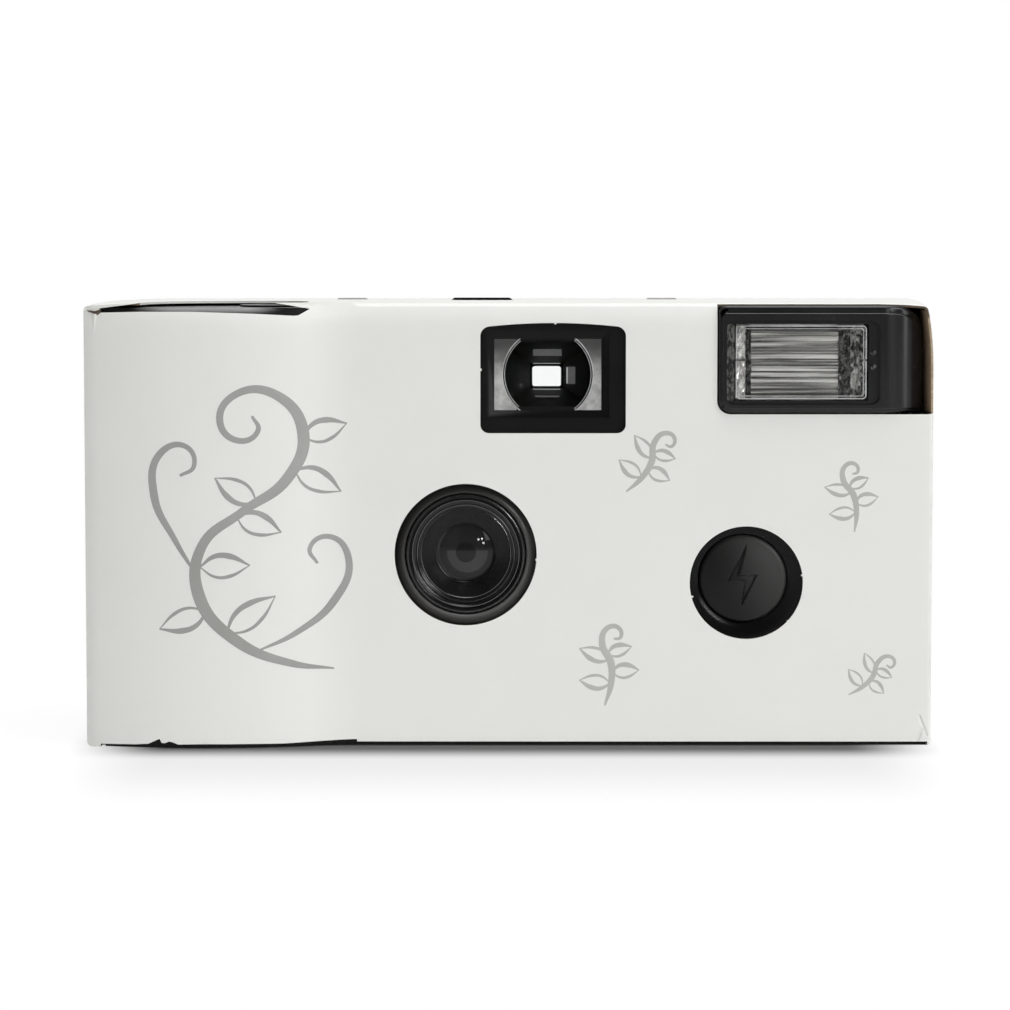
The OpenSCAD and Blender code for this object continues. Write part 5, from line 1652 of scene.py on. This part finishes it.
@dataclass
class FinderFace:
    """Frosted flats and bright rims round the dimple of the viewfinder's front plate, with painted shade on
    the flats and painted highlights on the rims and tunnel bars.
    """

    middle: Pair = (5.5, 50.3)
    size: Pair = (14.5, 9.66)
    dimple: float = 6.12
    face: float = -11.9
    wedge: float = 0.115

    def plate(self, node: bpy.types.Object) -> bpy.types.Object:
        """Make the clear plate from its solid, with a slightly wedged back.

        Args:
            node: the solid.

        Returns:
            The finished object.
        """
        obj = Bench.copy_solid(node, "finder_plate")
        back = max(v.co.y for v in obj.data.vertices)
        for v in obj.data.vertices:
            if v.co.y > back - 0.05 * MM:
                v.co.y += self.wedge * (v.co.z - self.middle[1] * MM)
        Bench.dress(obj, FINDER_CLEAR)
        Bench.smooth(obj, 30)
        return obj

    def ledges(self, finish: Finish, name: str, bars: Sequence[tuple[float, ...]]) -> bpy.types.Object:
        """Make thin bars on the walls of the tunnel that glow as painted reflections of the eyepiece's light.

        Args:
            finish: their finish.
            name: the piece's name.
            bars: each ledge's depth, then its left, lower, right and upper edge from the finder's axis.

        Returns:
            The finished object.
        """
        x, z = self.middle
        made = []
        for i, (depth, left, low, right, high) in enumerate(bars):
            near, far = (x + left, depth, z + low), (x + right, depth + 0.2, z + high)
            made.append(Bench.cube(f"{name}_{i}", near, far))
        obj = Bench.gather(name, made)
        Bench.dress(obj, finish)
        return obj

    def frame(self) -> bpy.types.Object:
        """Make the dull black faces round the plate and the lips at its upper and lower edge.

        Returns:
            The finished object.
        """
        x, z = self.middle
        obj = Bench.cube("finder_frame", (-4.2, -12.9, 42.0), (16.6, -12.86, 58.0))
        Bench.dress(obj, FRAME)
        Bench.cut(obj, Bench.cube("frame_hole", (-2.9, -14.0, 44.45), (13.8, -12.0, 56.4)), FRAME)
        lips = []
        for i, (low, high) in enumerate(((45.4, 45.98), (54.84, 55.2))):
            lip = Bench.cube(f"lip_{i}", (x - 4.2, self.face - 0.08, low), (x + 3.6, self.face - 0.05, high))
            Bench.dress(lip, FRAME)
            lips.append(lip)
        return Bench.join(obj, lips)

    def mask(self) -> bpy.types.Object:
        """Make the plate with a rounded opening in front of the eyepiece.

        Returns:
            The finished object.
        """
        x, z = self.middle
        obj = Bench.cube("finder_mask", (x - 4.0, 12.9, z - 3.0), (x + 4.0, 13.1, z + 3.0))
        hole = Bench.panel("mask_hole", (x - 3.72, 12.0, z - 2.78), (x + 3.72, 14.0, z + 2.35), 0.8)
        Bench.dress(obj, TUNNEL)
        Bench.cut(obj, hole, TUNNEL)
        return obj

    def flats(self) -> bpy.types.Object:
        """Make the frosted corners outside the dimple, darker towards the top as painted shade.

        Returns:
            The finished object.
        """
        x, z = self.middle
        w, h = self.size[0] / 2, self.size[1] / 2
        obj = Bench.cube("finder_flats", (x - w, self.face - 0.04, z - h), (x + w, self.face - 0.01, z + h))
        Bench.dress(obj, FROST)
        Bench.cut(obj, Bench.barrel("dimple_hole", (x, self.face, z), self.dimple, 2.0, "Y", 128), FROST)
        return obj

    def rims(self) -> bpy.types.Object:
        """Make the rounded edge of the dimple, as far as the plate reaches, in a pale grey that is a painted
        highlight.

        Returns:
            The finished object.
        """
        x, z = self.middle
        made = []
        for radius, thick, deep in ((self.dimple, 0.075, -0.05), (self.dimple - 0.28, 0.04, 0.0)):
            Bench.clear()
            bpy.ops.mesh.primitive_torus_add(
                location=(x * MM, (self.face + deep) * MM, z * MM),
                rotation=(math.pi / 2, 0, 0),
                major_segments=160,
                minor_segments=8,
                major_radius=radius * MM,
                minor_radius=thick * MM,
            )
            ring = bpy.context.object
            Bench.settle(ring)
            for sign in (-1, 1):
                high = self.size[1] / 2
                ends = sorted((z + sign * high, z + sign * 9))
                low, top = (x - 9, self.face - 3, ends[0]), (x + 9, self.face + 3, ends[1])
                Bench.cut(ring, Bench.cube("trim", low, top))
            made.append(ring)
        obj = Bench.gather("finder_rims", made)
        Bench.dress(obj, PAINTED_HIGHLIGHT_RIM)
        Bench.smooth(obj, 40)
        return obj


@dataclass
class FrontCover:
    """The front moulding, with a rounded flash housing whose right end curves back."""

    node: bpy.types.Object
    low: Point = (28.5, -13.9, 45.2)
    high: Point = (56.55, -6.4, 59.62)
    bend_x: float = 50.8
    bend: Pair = (5.85, 6.6)
    lip: float = 0.4
    ledge: float = 0.5
    edge: float = 0.24
    slope: float = 0.45
    outer_edge: float = 0.44
    recess: Span = (29.45, 46.35, 50.15, 57.65)
    recess_floor: float = -13.5
    hole: Span = (30.55, 46.85, 48.65, 57.15)
    finder: Span = (-4.2, 42.0, 16.6, 58.0)
    lens: Pair = LENS_AXIS
    bezel: tuple[Pair, ...] = (
        (8.25, -10.6), (8.25, -12.2), (8.28, -12.32), (8.38, -12.4), (8.52, -12.42), (8.68, -12.38),
        (9.0, -12.26), (9.3, -12.1), (9.55, -11.9), (9.72, -11.65), (9.77, -11.4),
        (9.77, -10.6), (8.25, -10.6),
    )

    def build(self) -> bpy.types.Object:
        """Make the cover from its solid with the finer housing in place.

        Returns:
            The finished object.
        """
        obj = Bench.copy_solid(self.node, "front_moulding")
        Bench.dress(obj, BLACK)
        room = Bench.cube("housing_room", (28.0, -16.0, 44.9), (58.0, -12.86, 60.0))
        Bench.cut(obj, room, BLACK)
        x, z = self.lens
        Bench.cut(obj, Bench.barrel("bezel_room", (x, -14.0, z), 9.78, 7.0, "Y", 128), BLACK)
        bezel = Bench.lathe("lens_bezel", self.lens, self.bezel, 128)
        bezel.data.materials.append(BEZEL.material())
        corner = Bench.cube("corner_room", (50.4, -16.0, 45.0), (58.0, -6.6, 60.0))
        Bench.cut(obj, corner, BLACK)
        Bench.join(obj, [self._housing(), bezel])
        obj.data.materials.append(FRAME.material())
        last = len(obj.data.materials) - 1
        x0, z0, x1, z1 = self.finder
        for face in obj.data.polygons:
            at = face.center / MM
            if x0 < at.x < x1 and z0 < at.z < z1 and at.y < -8.0:
                face.material_index = last
        Bench.smooth(obj, 30)
        return obj

    def _housing(self) -> bpy.types.Object:
        """Make the flash housing.

        Returns:
            The housing as one block with its recess and window.
        """
        obj = Bench.cube("flash_housing", self.low, self.high)
        lx, _, lz = self.low
        hx, _, hz = self.high
        for x, z, radius in ((lx, lz, 1.7), (lx, hz, 1.0), (hx, lz, 1.0), (hx, hz, 4.4)):
            Bench.bevel(obj, radius, 8, lambda a, b, x=x, z=z: all(
                abs(p.x - x) < 0.01 and abs(p.z - z) < 0.01 for p in (a, b)))
        self._raise_front(obj)
        raised = self.low[1] - self.lip + 0.01
        Bench.bevel(obj, self.edge, 3, lambda a, b: max(a.y, b.y) < raised)
        Bench.bevel(obj, self.outer_edge, 5, lambda a, b: min(a.y, b.y) > raised + 0.2 and self._is_rim(a, b))
        Bench.slices(obj, 0, [self.bend_x + self.bend[0] * math.sin(math.radians(6 * i)) for i in range(15)])
        for v in obj.data.vertices:
            x, y, _ = v.co / MM
            if x > self.bend_x and y < self.high[1] - 0.1:
                share = min(1.0, (x - self.bend_x) / self.bend[0])
                v.co.y += self.bend[1] * (1 - math.sqrt(1 - share * share)) * MM
        x0, z0, x1, z1 = self.recess
        dip = Bench.panel("recess", (x0, -16.0, z0), (x1, self.recess_floor, z1), 1.1, segments=5)
        Bench.cut(obj, dip, BLACK)
        x0, z0, x1, z1 = self.hole
        Bench.cut(obj, Bench.cube("window_hole", (x0, -17.0, z0), (x1, -6.0, z1)), BLACK)
        obj.data.materials.clear()
        obj.data.materials.append(HOUSING.material())
        return obj

    def _raise_front(self, obj: bpy.types.Object) -> None:
        """Raise the front of the block by a ledge."""
        Bench.choose_front(obj)
        bpy.ops.mesh.inset(thickness=self.ledge * MM)
        mesh = bmesh.from_edit_mesh(obj.data)
        high = self.high[2] - self.ledge
        for v in mesh.verts:
            if v.select:
                v.co.z -= self.slope * max(0.0, (v.co.z / MM - high + 4.0) / 4.0) * MM
        bmesh.update_edit_mesh(obj.data)
        bpy.ops.mesh.extrude_region_move(TRANSFORM_OT_translate={"value": (0, -self.lip * MM, 0)})
        bpy.ops.object.mode_set(mode="OBJECT")

    def _is_rim(self, a: Vector, b: Vector) -> bool:
        """Say whether an edge runs round the outer rim of the front."""
        if abs(a.y - b.y) > 0.01:
            return False
        off = min(a.x - self.low[0], self.high[0] - a.x, a.z - self.low[2], self.high[2] - a.z)
        return a.y < self.low[1] + 0.01 and (off < 0.05 or self._on_corner(a))

    def _on_corner(self, a: Vector) -> bool:
        """Say whether a point lies on one of the rounded outer corners."""
        x = min(a.x - self.low[0], self.high[0] - a.x)
        z = min(a.z - self.low[2], self.high[2] - a.z)
        return x < 0.45 and z < 4.4 or z < 0.45 and x < 4.4


@dataclass
class FlashFace:
    """Clear window, ribbed diffuser and crinkled ends of the flash."""

    pane: Span = (30.75, 47.0, 48.45, 57.0)
    front: float = -13.95
    ribs_x: Pair = (32.9, 44.7)
    ribs_z: Pair = (47.55, 56.35)
    rib_count: int = 11
    depth: float = -12.3

    def window(self) -> bpy.types.Object:
        """Make the clear window with its raised border.

        Returns:
            The finished object.
        """
        x0, z0, x1, z1 = self.pane
        obj = Bench.panel("flash_pane", (x0, self.front, z0), (x1, self.front + 0.5, z1), 0.7, segments=4)
        Bench.choose_front(obj)
        bpy.ops.mesh.inset(thickness=0.28 * MM)
        bpy.ops.mesh.inset(thickness=0.12 * MM, depth=-0.12 * MM)
        bpy.ops.object.mode_set(mode="OBJECT")
        Bench.bevel(obj, 0.08, 2, lambda a, b: max(a.y, b.y) < self.front + 0.01)
        Bench.dress(obj, FLASH_PANE)
        Bench.smooth(obj, 40)
        return obj

    def border(self) -> bpy.types.Object:
        """Make the bright double rim of the window, a painted highlight where light gathers in its edge.

        Returns:
            The finished object.
        """
        x0, z0, x1, z1 = self.pane
        made = []
        for i, (out, wide) in enumerate(((0.04, 0.16), (0.42, 0.1))):
            low, high = (x0 + out, -13.5, z0 + out), (x1 - out, -13.3, z1 - out)
            ring = Bench.panel(f"rim_{i}", low, high, 0.6 - out, segments=4)
            off = out + wide
            low, high = (x0 + off, -15.0, z0 + off), (x1 - off, -12.0, z1 - off)
            hole = Bench.panel("rim_hole", low, high, 0.3, segments=3)
            Bench.cut(ring, hole)
            made.append(ring)
        obj = Bench.gather("pane_rims", made)
        Bench.cut(obj, Bench.cube("split", (x0 - 1, -15.0, 52.2), (x1 + 1, -12.0, 52.42)))
        Bench.dress(obj, PAINTED_HIGHLIGHT_RIM)
        return obj

    def flanges(self) -> bpy.types.Object:
        """Make the clear flange at the left and the two pegs at the right.

        Returns:
            The finished object.
        """
        x0, z0, x1, z1 = self.pane
        low, high = (x0 - 1.15, -13.56, z0 - 0.2), (x0 - 0.15, -13.5, z1 + 0.2)
        obj = Bench.panel("pane_flange", low, high, 0.4, segments=3)
        pegs = []
        for i, z in enumerate((53.3, 51.4)):
            peg = Bench.barrel(f"peg_{i}", (x1 + 0.85, -13.6, z), 0.42, 0.4, "Y", 32)
            Bench.bevel(peg, 0.12, 3, lambda a, b: a.y < -13.79 and b.y < -13.79)
            pegs.append(peg)
        Bench.join(obj, pegs)
        Bench.dress(obj, FLANGE)
        Bench.smooth(obj, 40)
        return obj

    def diffuser(self) -> bpy.types.Object:
        """Make the horizontal ribs behind the window.

        Returns:
            The finished object.
        """
        z0, z1 = self.ribs_z
        pitch = (z1 - z0) / self.rib_count
        line = []
        for i in range(self.rib_count):
            tilt = 0.09 * math.sin(i * 2.4)
            for j in range(7):
                share = j / 6
                swell = 0.12 * math.sin(math.pi * share) + tilt * (share - 0.5)
                line.append((z0 + pitch * (i + 0.06 + 0.88 * share), self.depth - swell))
            line.append((z0 + pitch * (i + 1), self.depth + 0.4))
        x0, x1 = self.ribs_x
        chain = [(i, i + 1) for i in range(len(line) - 1)]
        obj = Bench.sheet("flash_ribs", [(x0, y, z) for z, y in line], [], chain)
        Bench.edit(obj)
        bpy.ops.mesh.extrude_region_move(TRANSFORM_OT_translate={"value": ((x1 - x0) * MM, 0, 0)})
        bpy.ops.object.mode_set(mode="OBJECT")
        self._face_front(obj)
        Bench.dress(obj, RIBS)
        Bench.smooth(obj, 50)
        return obj

    def ends(self) -> bpy.types.Object:
        """Make the crinkled facets at both ends of the ribs.

        Returns:
            The finished object.
        """
        made = []
        # the zones use lit and shaded copies of the foil, painted light and shade
        zones = (
            ("left", 30.85, 32.15, 11, FOIL_LIT), ("left_dark", 32.15, 32.95, 9, FOIL_SHADED),
            ("right_dark", 44.65, 46.3, 12, FOIL_SHADED), ("right", 46.3, 48.35, 9, FOIL_HALF_SHADED),
        )
        for name, x0, x1, rows, finish in zones:
            Bench.clear()
            bpy.ops.mesh.primitive_grid_add(x_subdivisions=7, y_subdivisions=2 * rows, size=1)
            grid = bpy.context.object
            z0, z1 = self.pane[1] + 0.1, self.pane[3] - 0.1
            for k, v in enumerate(grid.data.vertices):
                jolt = math.sin(k * 12.9898) * 43758.5453
                jolt -= math.floor(jolt)
                x = x0 + (x1 - x0) * (v.co.x + 0.5)
                z = z0 + (z1 - z0) * (v.co.y + 0.5)
                v.co = (x * MM, (self.depth - 0.1 + 0.55 * (jolt - 0.5)) * MM, z * MM)
            self._face_front(grid)
            Bench.dress(grid, finish)
            made.append(grid)
        bar = Bench.cube("end_split", (30.8, -13.0, 52.18), (32.3, -12.95, 52.5))
        Bench.dress(bar, FOIL_SHADED)
        return Bench.gather("flash_ends", [*made, bar])

    def _face_front(self, obj: bpy.types.Object) -> None:
        """Turn a sheet's faces to the front."""
        lean = sum(f.normal.y * f.area for f in obj.data.polygons)
        if lean > 0:
            obj.data.flip_normals()


@dataclass
class CounterNumbers:
    """Figures round the exposure counter's dial."""

    axis: Pair = (-10.5, 6.052)
    radius: float = 5.6
    figure: float = 2.0
    steps: int = 10

    def build(self, top: float) -> bpy.types.Object:
        """Set the figures on the dial.

        Args:
            top: the dial's upper face, in metres.

        Returns:
            The joined figures.
        """
        made = []
        for i in range(self.steps):
            angle = 2 * math.pi * i / self.steps
            Bench.clear()
            bpy.ops.object.text_add(location=(0, 0, 0))
            text = bpy.context.object
            text.data.body = str(3 * i)
            text.data.size = self.figure * MM
            text.data.align_x = "CENTER"
            text.data.align_y = "CENTER"
            text.data.extrude = 0.01 * MM
            bpy.ops.object.convert(target="MESH")
            text = bpy.context.object
            x = self.axis[0] + self.radius * math.cos(angle)
            y = self.axis[1] + self.radius * math.sin(angle)
            text.location = (x * MM, y * MM, top + 0.012 * MM)
            text.rotation_euler = (0, 0, angle)
            Bench.settle(text)
            made.append(text)
        obj = Bench.gather("counter_figures", made)
        Bench.dress(obj, BLACK)
        return obj


@dataclass
class InnerParts:
    """The solids that keep their shape and get their finish here."""

    finishes: dict[str, Finish] = field(
        default_factory=lambda: {
            "front_cover": BLACK, "rear_cover": BLACK, "chassis": INNER, "cassette_door": BLACK,
            "lens_retainer": GLOSS, "taking_lens": CLEAR, "shutter_plate": INNER, "shutter_blade": GLOSS,
            "shutter_spring": STEEL, "striker": STEEL, "striker_spring": STEEL, "release_lever": STEEL,
            "shutter_button": SHADE_DARK_BLACK, "viewfinder_front_lens": CLEAR, "viewfinder_tunnel": TUNNEL,
            "viewfinder_eyepiece": PANE, "flash_window": FLASH_PANE, "flash_reflector": REFLECTOR,
            "flash_tube": TUBE_GLASS, "circuit_board": LAMINATE, "flash_capacitor": SLEEVING,
            "flash_transformer": TAPE, "trigger_coil": COPPER, "flash_switch_dome": STEEL,
            "flash_button": GLOSS, "sync_contact": BRASS, "ready_lamp": AMBER, "battery": JACKET,
            "battery_contact_plus": BRASS, "battery_contact_minus": BRASS, "cassette_shell": TIN,
            "cassette_caps": TIN, "cassette_spool": GLOSS, "advance_wheel": BLACK, "ratchet_pawl": INNER,
            "sprocket": PALE, "counter_disc": PALE,
            "counter_window": PANE, "film_strip": FILM, "supply_spool": INNER, "film_roll": FILM,
            "card_sleeve": CARD,
        }
    )

    def dress(self, nodes: dict[str, bpy.types.Object]) -> None:
        """Give every solid its finish.

        Args:
            nodes: the solids by name.
        """
        for name, obj in nodes.items():
            Bench.dress(obj, self.finishes[name])


@dataclass
class Studio:
    """Floor, light and camera."""

    eye: Point = (-0.28, -513.5, 71.3)
    aim: Point = (-0.28, -13.5, 32.75)
    lens: float = 132.4
    sensor: float = 36.0

    def build(self) -> None:
        """Set up floor, world, lamps and camera."""
        bpy.context.scene.view_settings.view_transform = "Standard"
        self._floor()
        self._world()
        self._lamp("key_lamp", (0.78, -0.66, 0.6), 0.6, 5.9)
        self._lamp("fill_lamp", (-0.6, -0.9, 0.4), 0.8, 0.6)
        self._lamp("top_lamp", (0.1, -0.1, 1.0), 0.6, 6.5)
        strip = self._lamp("strip_lamp", (0.94, -0.34, 0.12), 0.16, 2.0)
        strip.data.shape = "RECTANGLE"
        strip.data.size_y = 0.9
        strip.visible_diffuse = False
        for i, (x, z) in enumerate(((0.328, 0.298), (0.444, 0.324), (0.483, 0.203))):
            spark = self._lamp(f"spark_lamp_{i}", (x, -0.82, z), 0.05, 0.6)
            spark.visible_diffuse = False
        self._camera()

    def _floor(self) -> None:
        """Lay a pale floor: its dim part keeps the real shadow, and its glow is dimmed near the camera's foot
        as a painted contact shadow.
        """
        Bench.clear()
        bpy.ops.mesh.primitive_plane_add(size=12, location=(0, 0, 0))
        obj = bpy.context.object
        obj.name = "floor"
        s = Shader("pale_floor")
        x, y, _ = s.axes()
        off_x = (abs(x) - 57.5 * MM).most(0.0)
        off_y = (abs(y) - 16.5 * MM).most(0.0)
        away = (off_x * off_x + off_y * off_y) ** 0.5
        cloud = s.noise(3, 2, 0.5)
        tone = s.mix(cloud, (0.84, 0.84, 0.84), (0.88, 0.88, 0.88))
        matt = s.node("ShaderNodeBsdfDiffuse", {}, {"Color": tone})
        dim = s.node("ShaderNodeBsdfDiffuse", {}, {"Color": (0.1, 0.1, 0.1, 1)})
        # painted contact shadow: the glow is weaker near the camera's foot and in front of it
        near = s.step(away, -1.5 * MM, 10.5 * MM) * 0.72 + s.step(away, 6 * MM, 55 * MM) * 0.18
        beside = s.step(abs(x) - 57.5 * MM, -12 * MM, 3 * MM)
        shade = near * (1 - beside) + beside * 0.92
        light = s.mix(shade, (0.0, 0.0, 0.0), (1.0, 1.0, 1.0))
        glow = s.node("ShaderNodeEmission", {}, {"Color": light, "Strength": 1.0})
        both = s.node("ShaderNodeAddShader", {}, {0: dim, 1: glow})
        gone = s.node("ShaderNodeBsdfTransparent", {}, {})
        fading = s.node("ShaderNodeMixShader", {}, {0: s.step(away, 45 * MM, 110 * MM), 1: both, 2: gone})
        s.close(s.node("ShaderNodeMixShader", {}, {0: self._seen(s), 1: matt, 2: fading}))
        obj.data.materials.append(s.material)

    def _world(self) -> None:
        """Make a white backdrop and a soft surrounding light."""
        s = Shader("studio", world=True)
        round_y = s.node("ShaderNodeSeparateXYZ", {}, {0: s.node("ShaderNodeTexCoord", out="Generated")}, 1)
        mirrored = s.node("ShaderNodeMapRange", {}, {0: round_y, 1: -0.25, 2: 0.9, 3: 0.03, 4: 0.9})
        soft, mirror, white = (
            s.node("ShaderNodeBackground", {}, {"Color": (1, 1, 1, 1), "Strength": strength})
            for strength in (0.255, mirrored, 1.0)
        )
        glossy = s.node("ShaderNodeLightPath", out="Is Glossy Ray")
        lit = s.node("ShaderNodeMixShader", {}, {0: glossy, 1: soft, 2: mirror})
        s.close(s.node("ShaderNodeMixShader", {}, {0: self._seen(s), 1: lit, 2: white}))
        bpy.context.scene.world = s.material

    def _seen(self, s: Shader) -> Value:
        """Give 1 for rays from the eye, straight or through clear pieces, and 0 for other light."""
        names = ("Is Camera Ray", "Is Transmission Ray", "Diffuse Depth")
        camera_ray, clear_ray, bounced = (s.node("ShaderNodeLightPath", out=name) for name in names)
        return camera_ray.most(clear_ray * (1 - bounced).most(0.0))

    def _lamp(self, name: str, place: Point, size: float, power: float) -> bpy.types.Object:
        """Hang a square soft lamp that faces the camera body.

        Args:
            name: the lamp's name.
            place: where it hangs, in metres.
            size: its side, in metres.
            power: its power in watts.

        Returns:
            The lamp.
        """
        data = bpy.data.lights.new(name, "AREA")
        data.shape = "SQUARE"
        data.size = size
        data.energy = power
        obj = bpy.data.objects.new(name, data)
        bpy.context.scene.collection.objects.link(obj)
        obj.location = place
        aim = Vector((0, 0, 0.03)) - Vector(place)
        obj.rotation_euler = aim.to_track_quat("-Z", "Y").to_euler()
        return obj

    def _camera(self) -> None:
        """Stand the camera where the photograph was taken from."""
        data = bpy.data.cameras.new("view")
        data.lens = self.lens
        data.sensor_width = self.sensor
        data.clip_start = 0.02
        data.clip_end = 30
        obj = bpy.data.objects.new("view", data)
        bpy.context.scene.collection.objects.link(obj)
        obj.location = [c * MM for c in self.eye]
        aim = Vector(self.aim) - Vector(self.eye)
        obj.rotation_euler = aim.to_track_quat("-Z", "Y").to_euler()
        bpy.context.scene.camera = obj


def place(obj: bpy.types.Object, body: str, slot: str, *nodes: str) -> None:
    """Let a piece ride on a body and stand for its solids.

    Args:
        obj: the piece.
        body: the body it moves with.
        slot: the name of a material slot; not used.
        nodes: the solids that it replaces.
    """
    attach(obj, body)
    if nodes:
        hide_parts(*nodes)
    LOG.info("%s rides on %s", obj.name, body)


def main() -> None:
    """Build the camera's looks in order."""
    logging.basicConfig(level=logging.INFO)
    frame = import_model()
    nodes = frame["nodes"]
    InnerParts().dress(nodes)
    plan = FrontPlan()
    sleeve = CardSleeve(plan)
    place(sleeve.build(), "camera", "card", "card_sleeve")
    place(sleeve.corner_fold(), "camera", "card")
    place(sleeve.corner_tear_shadow(), "camera", "card")
    place(sleeve.top_tabs(), "camera", "card")
    place(sleeve.counter_rim(), "camera", "black_plastic")
    place(sleeve.grip_shoulder(), "camera", "black_plastic")
    place(sleeve.side_flap(), "camera", "card")
    place(sleeve.grip_foot_shadow(), "camera", "black_plastic")
    sprigs = PrintedSprigs(plan)
    place(sprigs.build("print_scroll", sprigs.large(), Ink.DEEP), "camera", "card")
    smalls = [(19.0, 38.6, 9.5, -18), (13.6, 11.0, 10.5, 14), (46.4, 33.8, 9.0, 24), (49.2, 9.6, 7.5, -30)]
    for i, (x, z, size, lean) in enumerate(smalls):
        place(sprigs.build(f"print_sprig_{i}", sprigs.small(x, z, size, lean), Ink.LIGHT), "camera", "card")
    button = FlashButton(nodes["flash_button"])
    place(button.build(), "flash_button", "black_plastic", "flash_button")
    place(button.well(), "camera", "black_plastic")
    place(LensRing().build(), "camera", "gloss_black", "lens_retainer")
    place(TakingLens().build(), "camera", "clear_plastic", "taking_lens")
    finder = FinderFace()
    place(finder.plate(nodes["viewfinder_front_lens"]), "camera", "clear_plastic", "viewfinder_front_lens")
    # glowing bars in the tunnel, painted reflections of the eyepiece's light
    dim = [(-6.0, -2.3, 2.95, 2.25, 4.0), (1.0, 3.95, -1.75, 5.5, 1.6), (-2.0, -2.2, -4.02, 2.2, -3.74)]
    bright = [(11.0, -3.3, 2.86, 3.3, 2.98), (9.0, -3.2, -3.32, 3.2, -3.2), (1.0, 3.8, -1.65, 4.0, 1.5)]
    place(finder.ledges(DIM_PAINTED_GLOW, "finder_glint_bars", dim), "camera", "chassis_plastic")
    place(finder.ledges(BRIGHT_PAINTED_GLOW, "finder_edge_glints", bright), "camera", "chassis_plastic")
    place(finder.frame(), "camera", "black_plastic")
    place(finder.mask(), "camera", "chassis_plastic")
    place(finder.flats(), "camera", "clear_plastic")
    place(finder.rims(), "camera", "clear_plastic")
    place(FrontCover(nodes["front_cover"]).build(), "camera", "black_plastic", "front_cover")
    flash = FlashFace()
    place(flash.window(), "camera", "clear_plastic", "flash_window")
    place(flash.border(), "camera", "clear_plastic")
    place(flash.flanges(), "camera", "clear_plastic")
    place(flash.diffuser(), "camera", "reflector_metal")
    place(flash.ends(), "camera", "reflector_metal")
    figures = CounterNumbers().build(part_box("counter_disc")[1][2])
    place(figures, "counter_disc", "black_plastic")
    Studio().build()


if __name__ == "__main__":
    main()
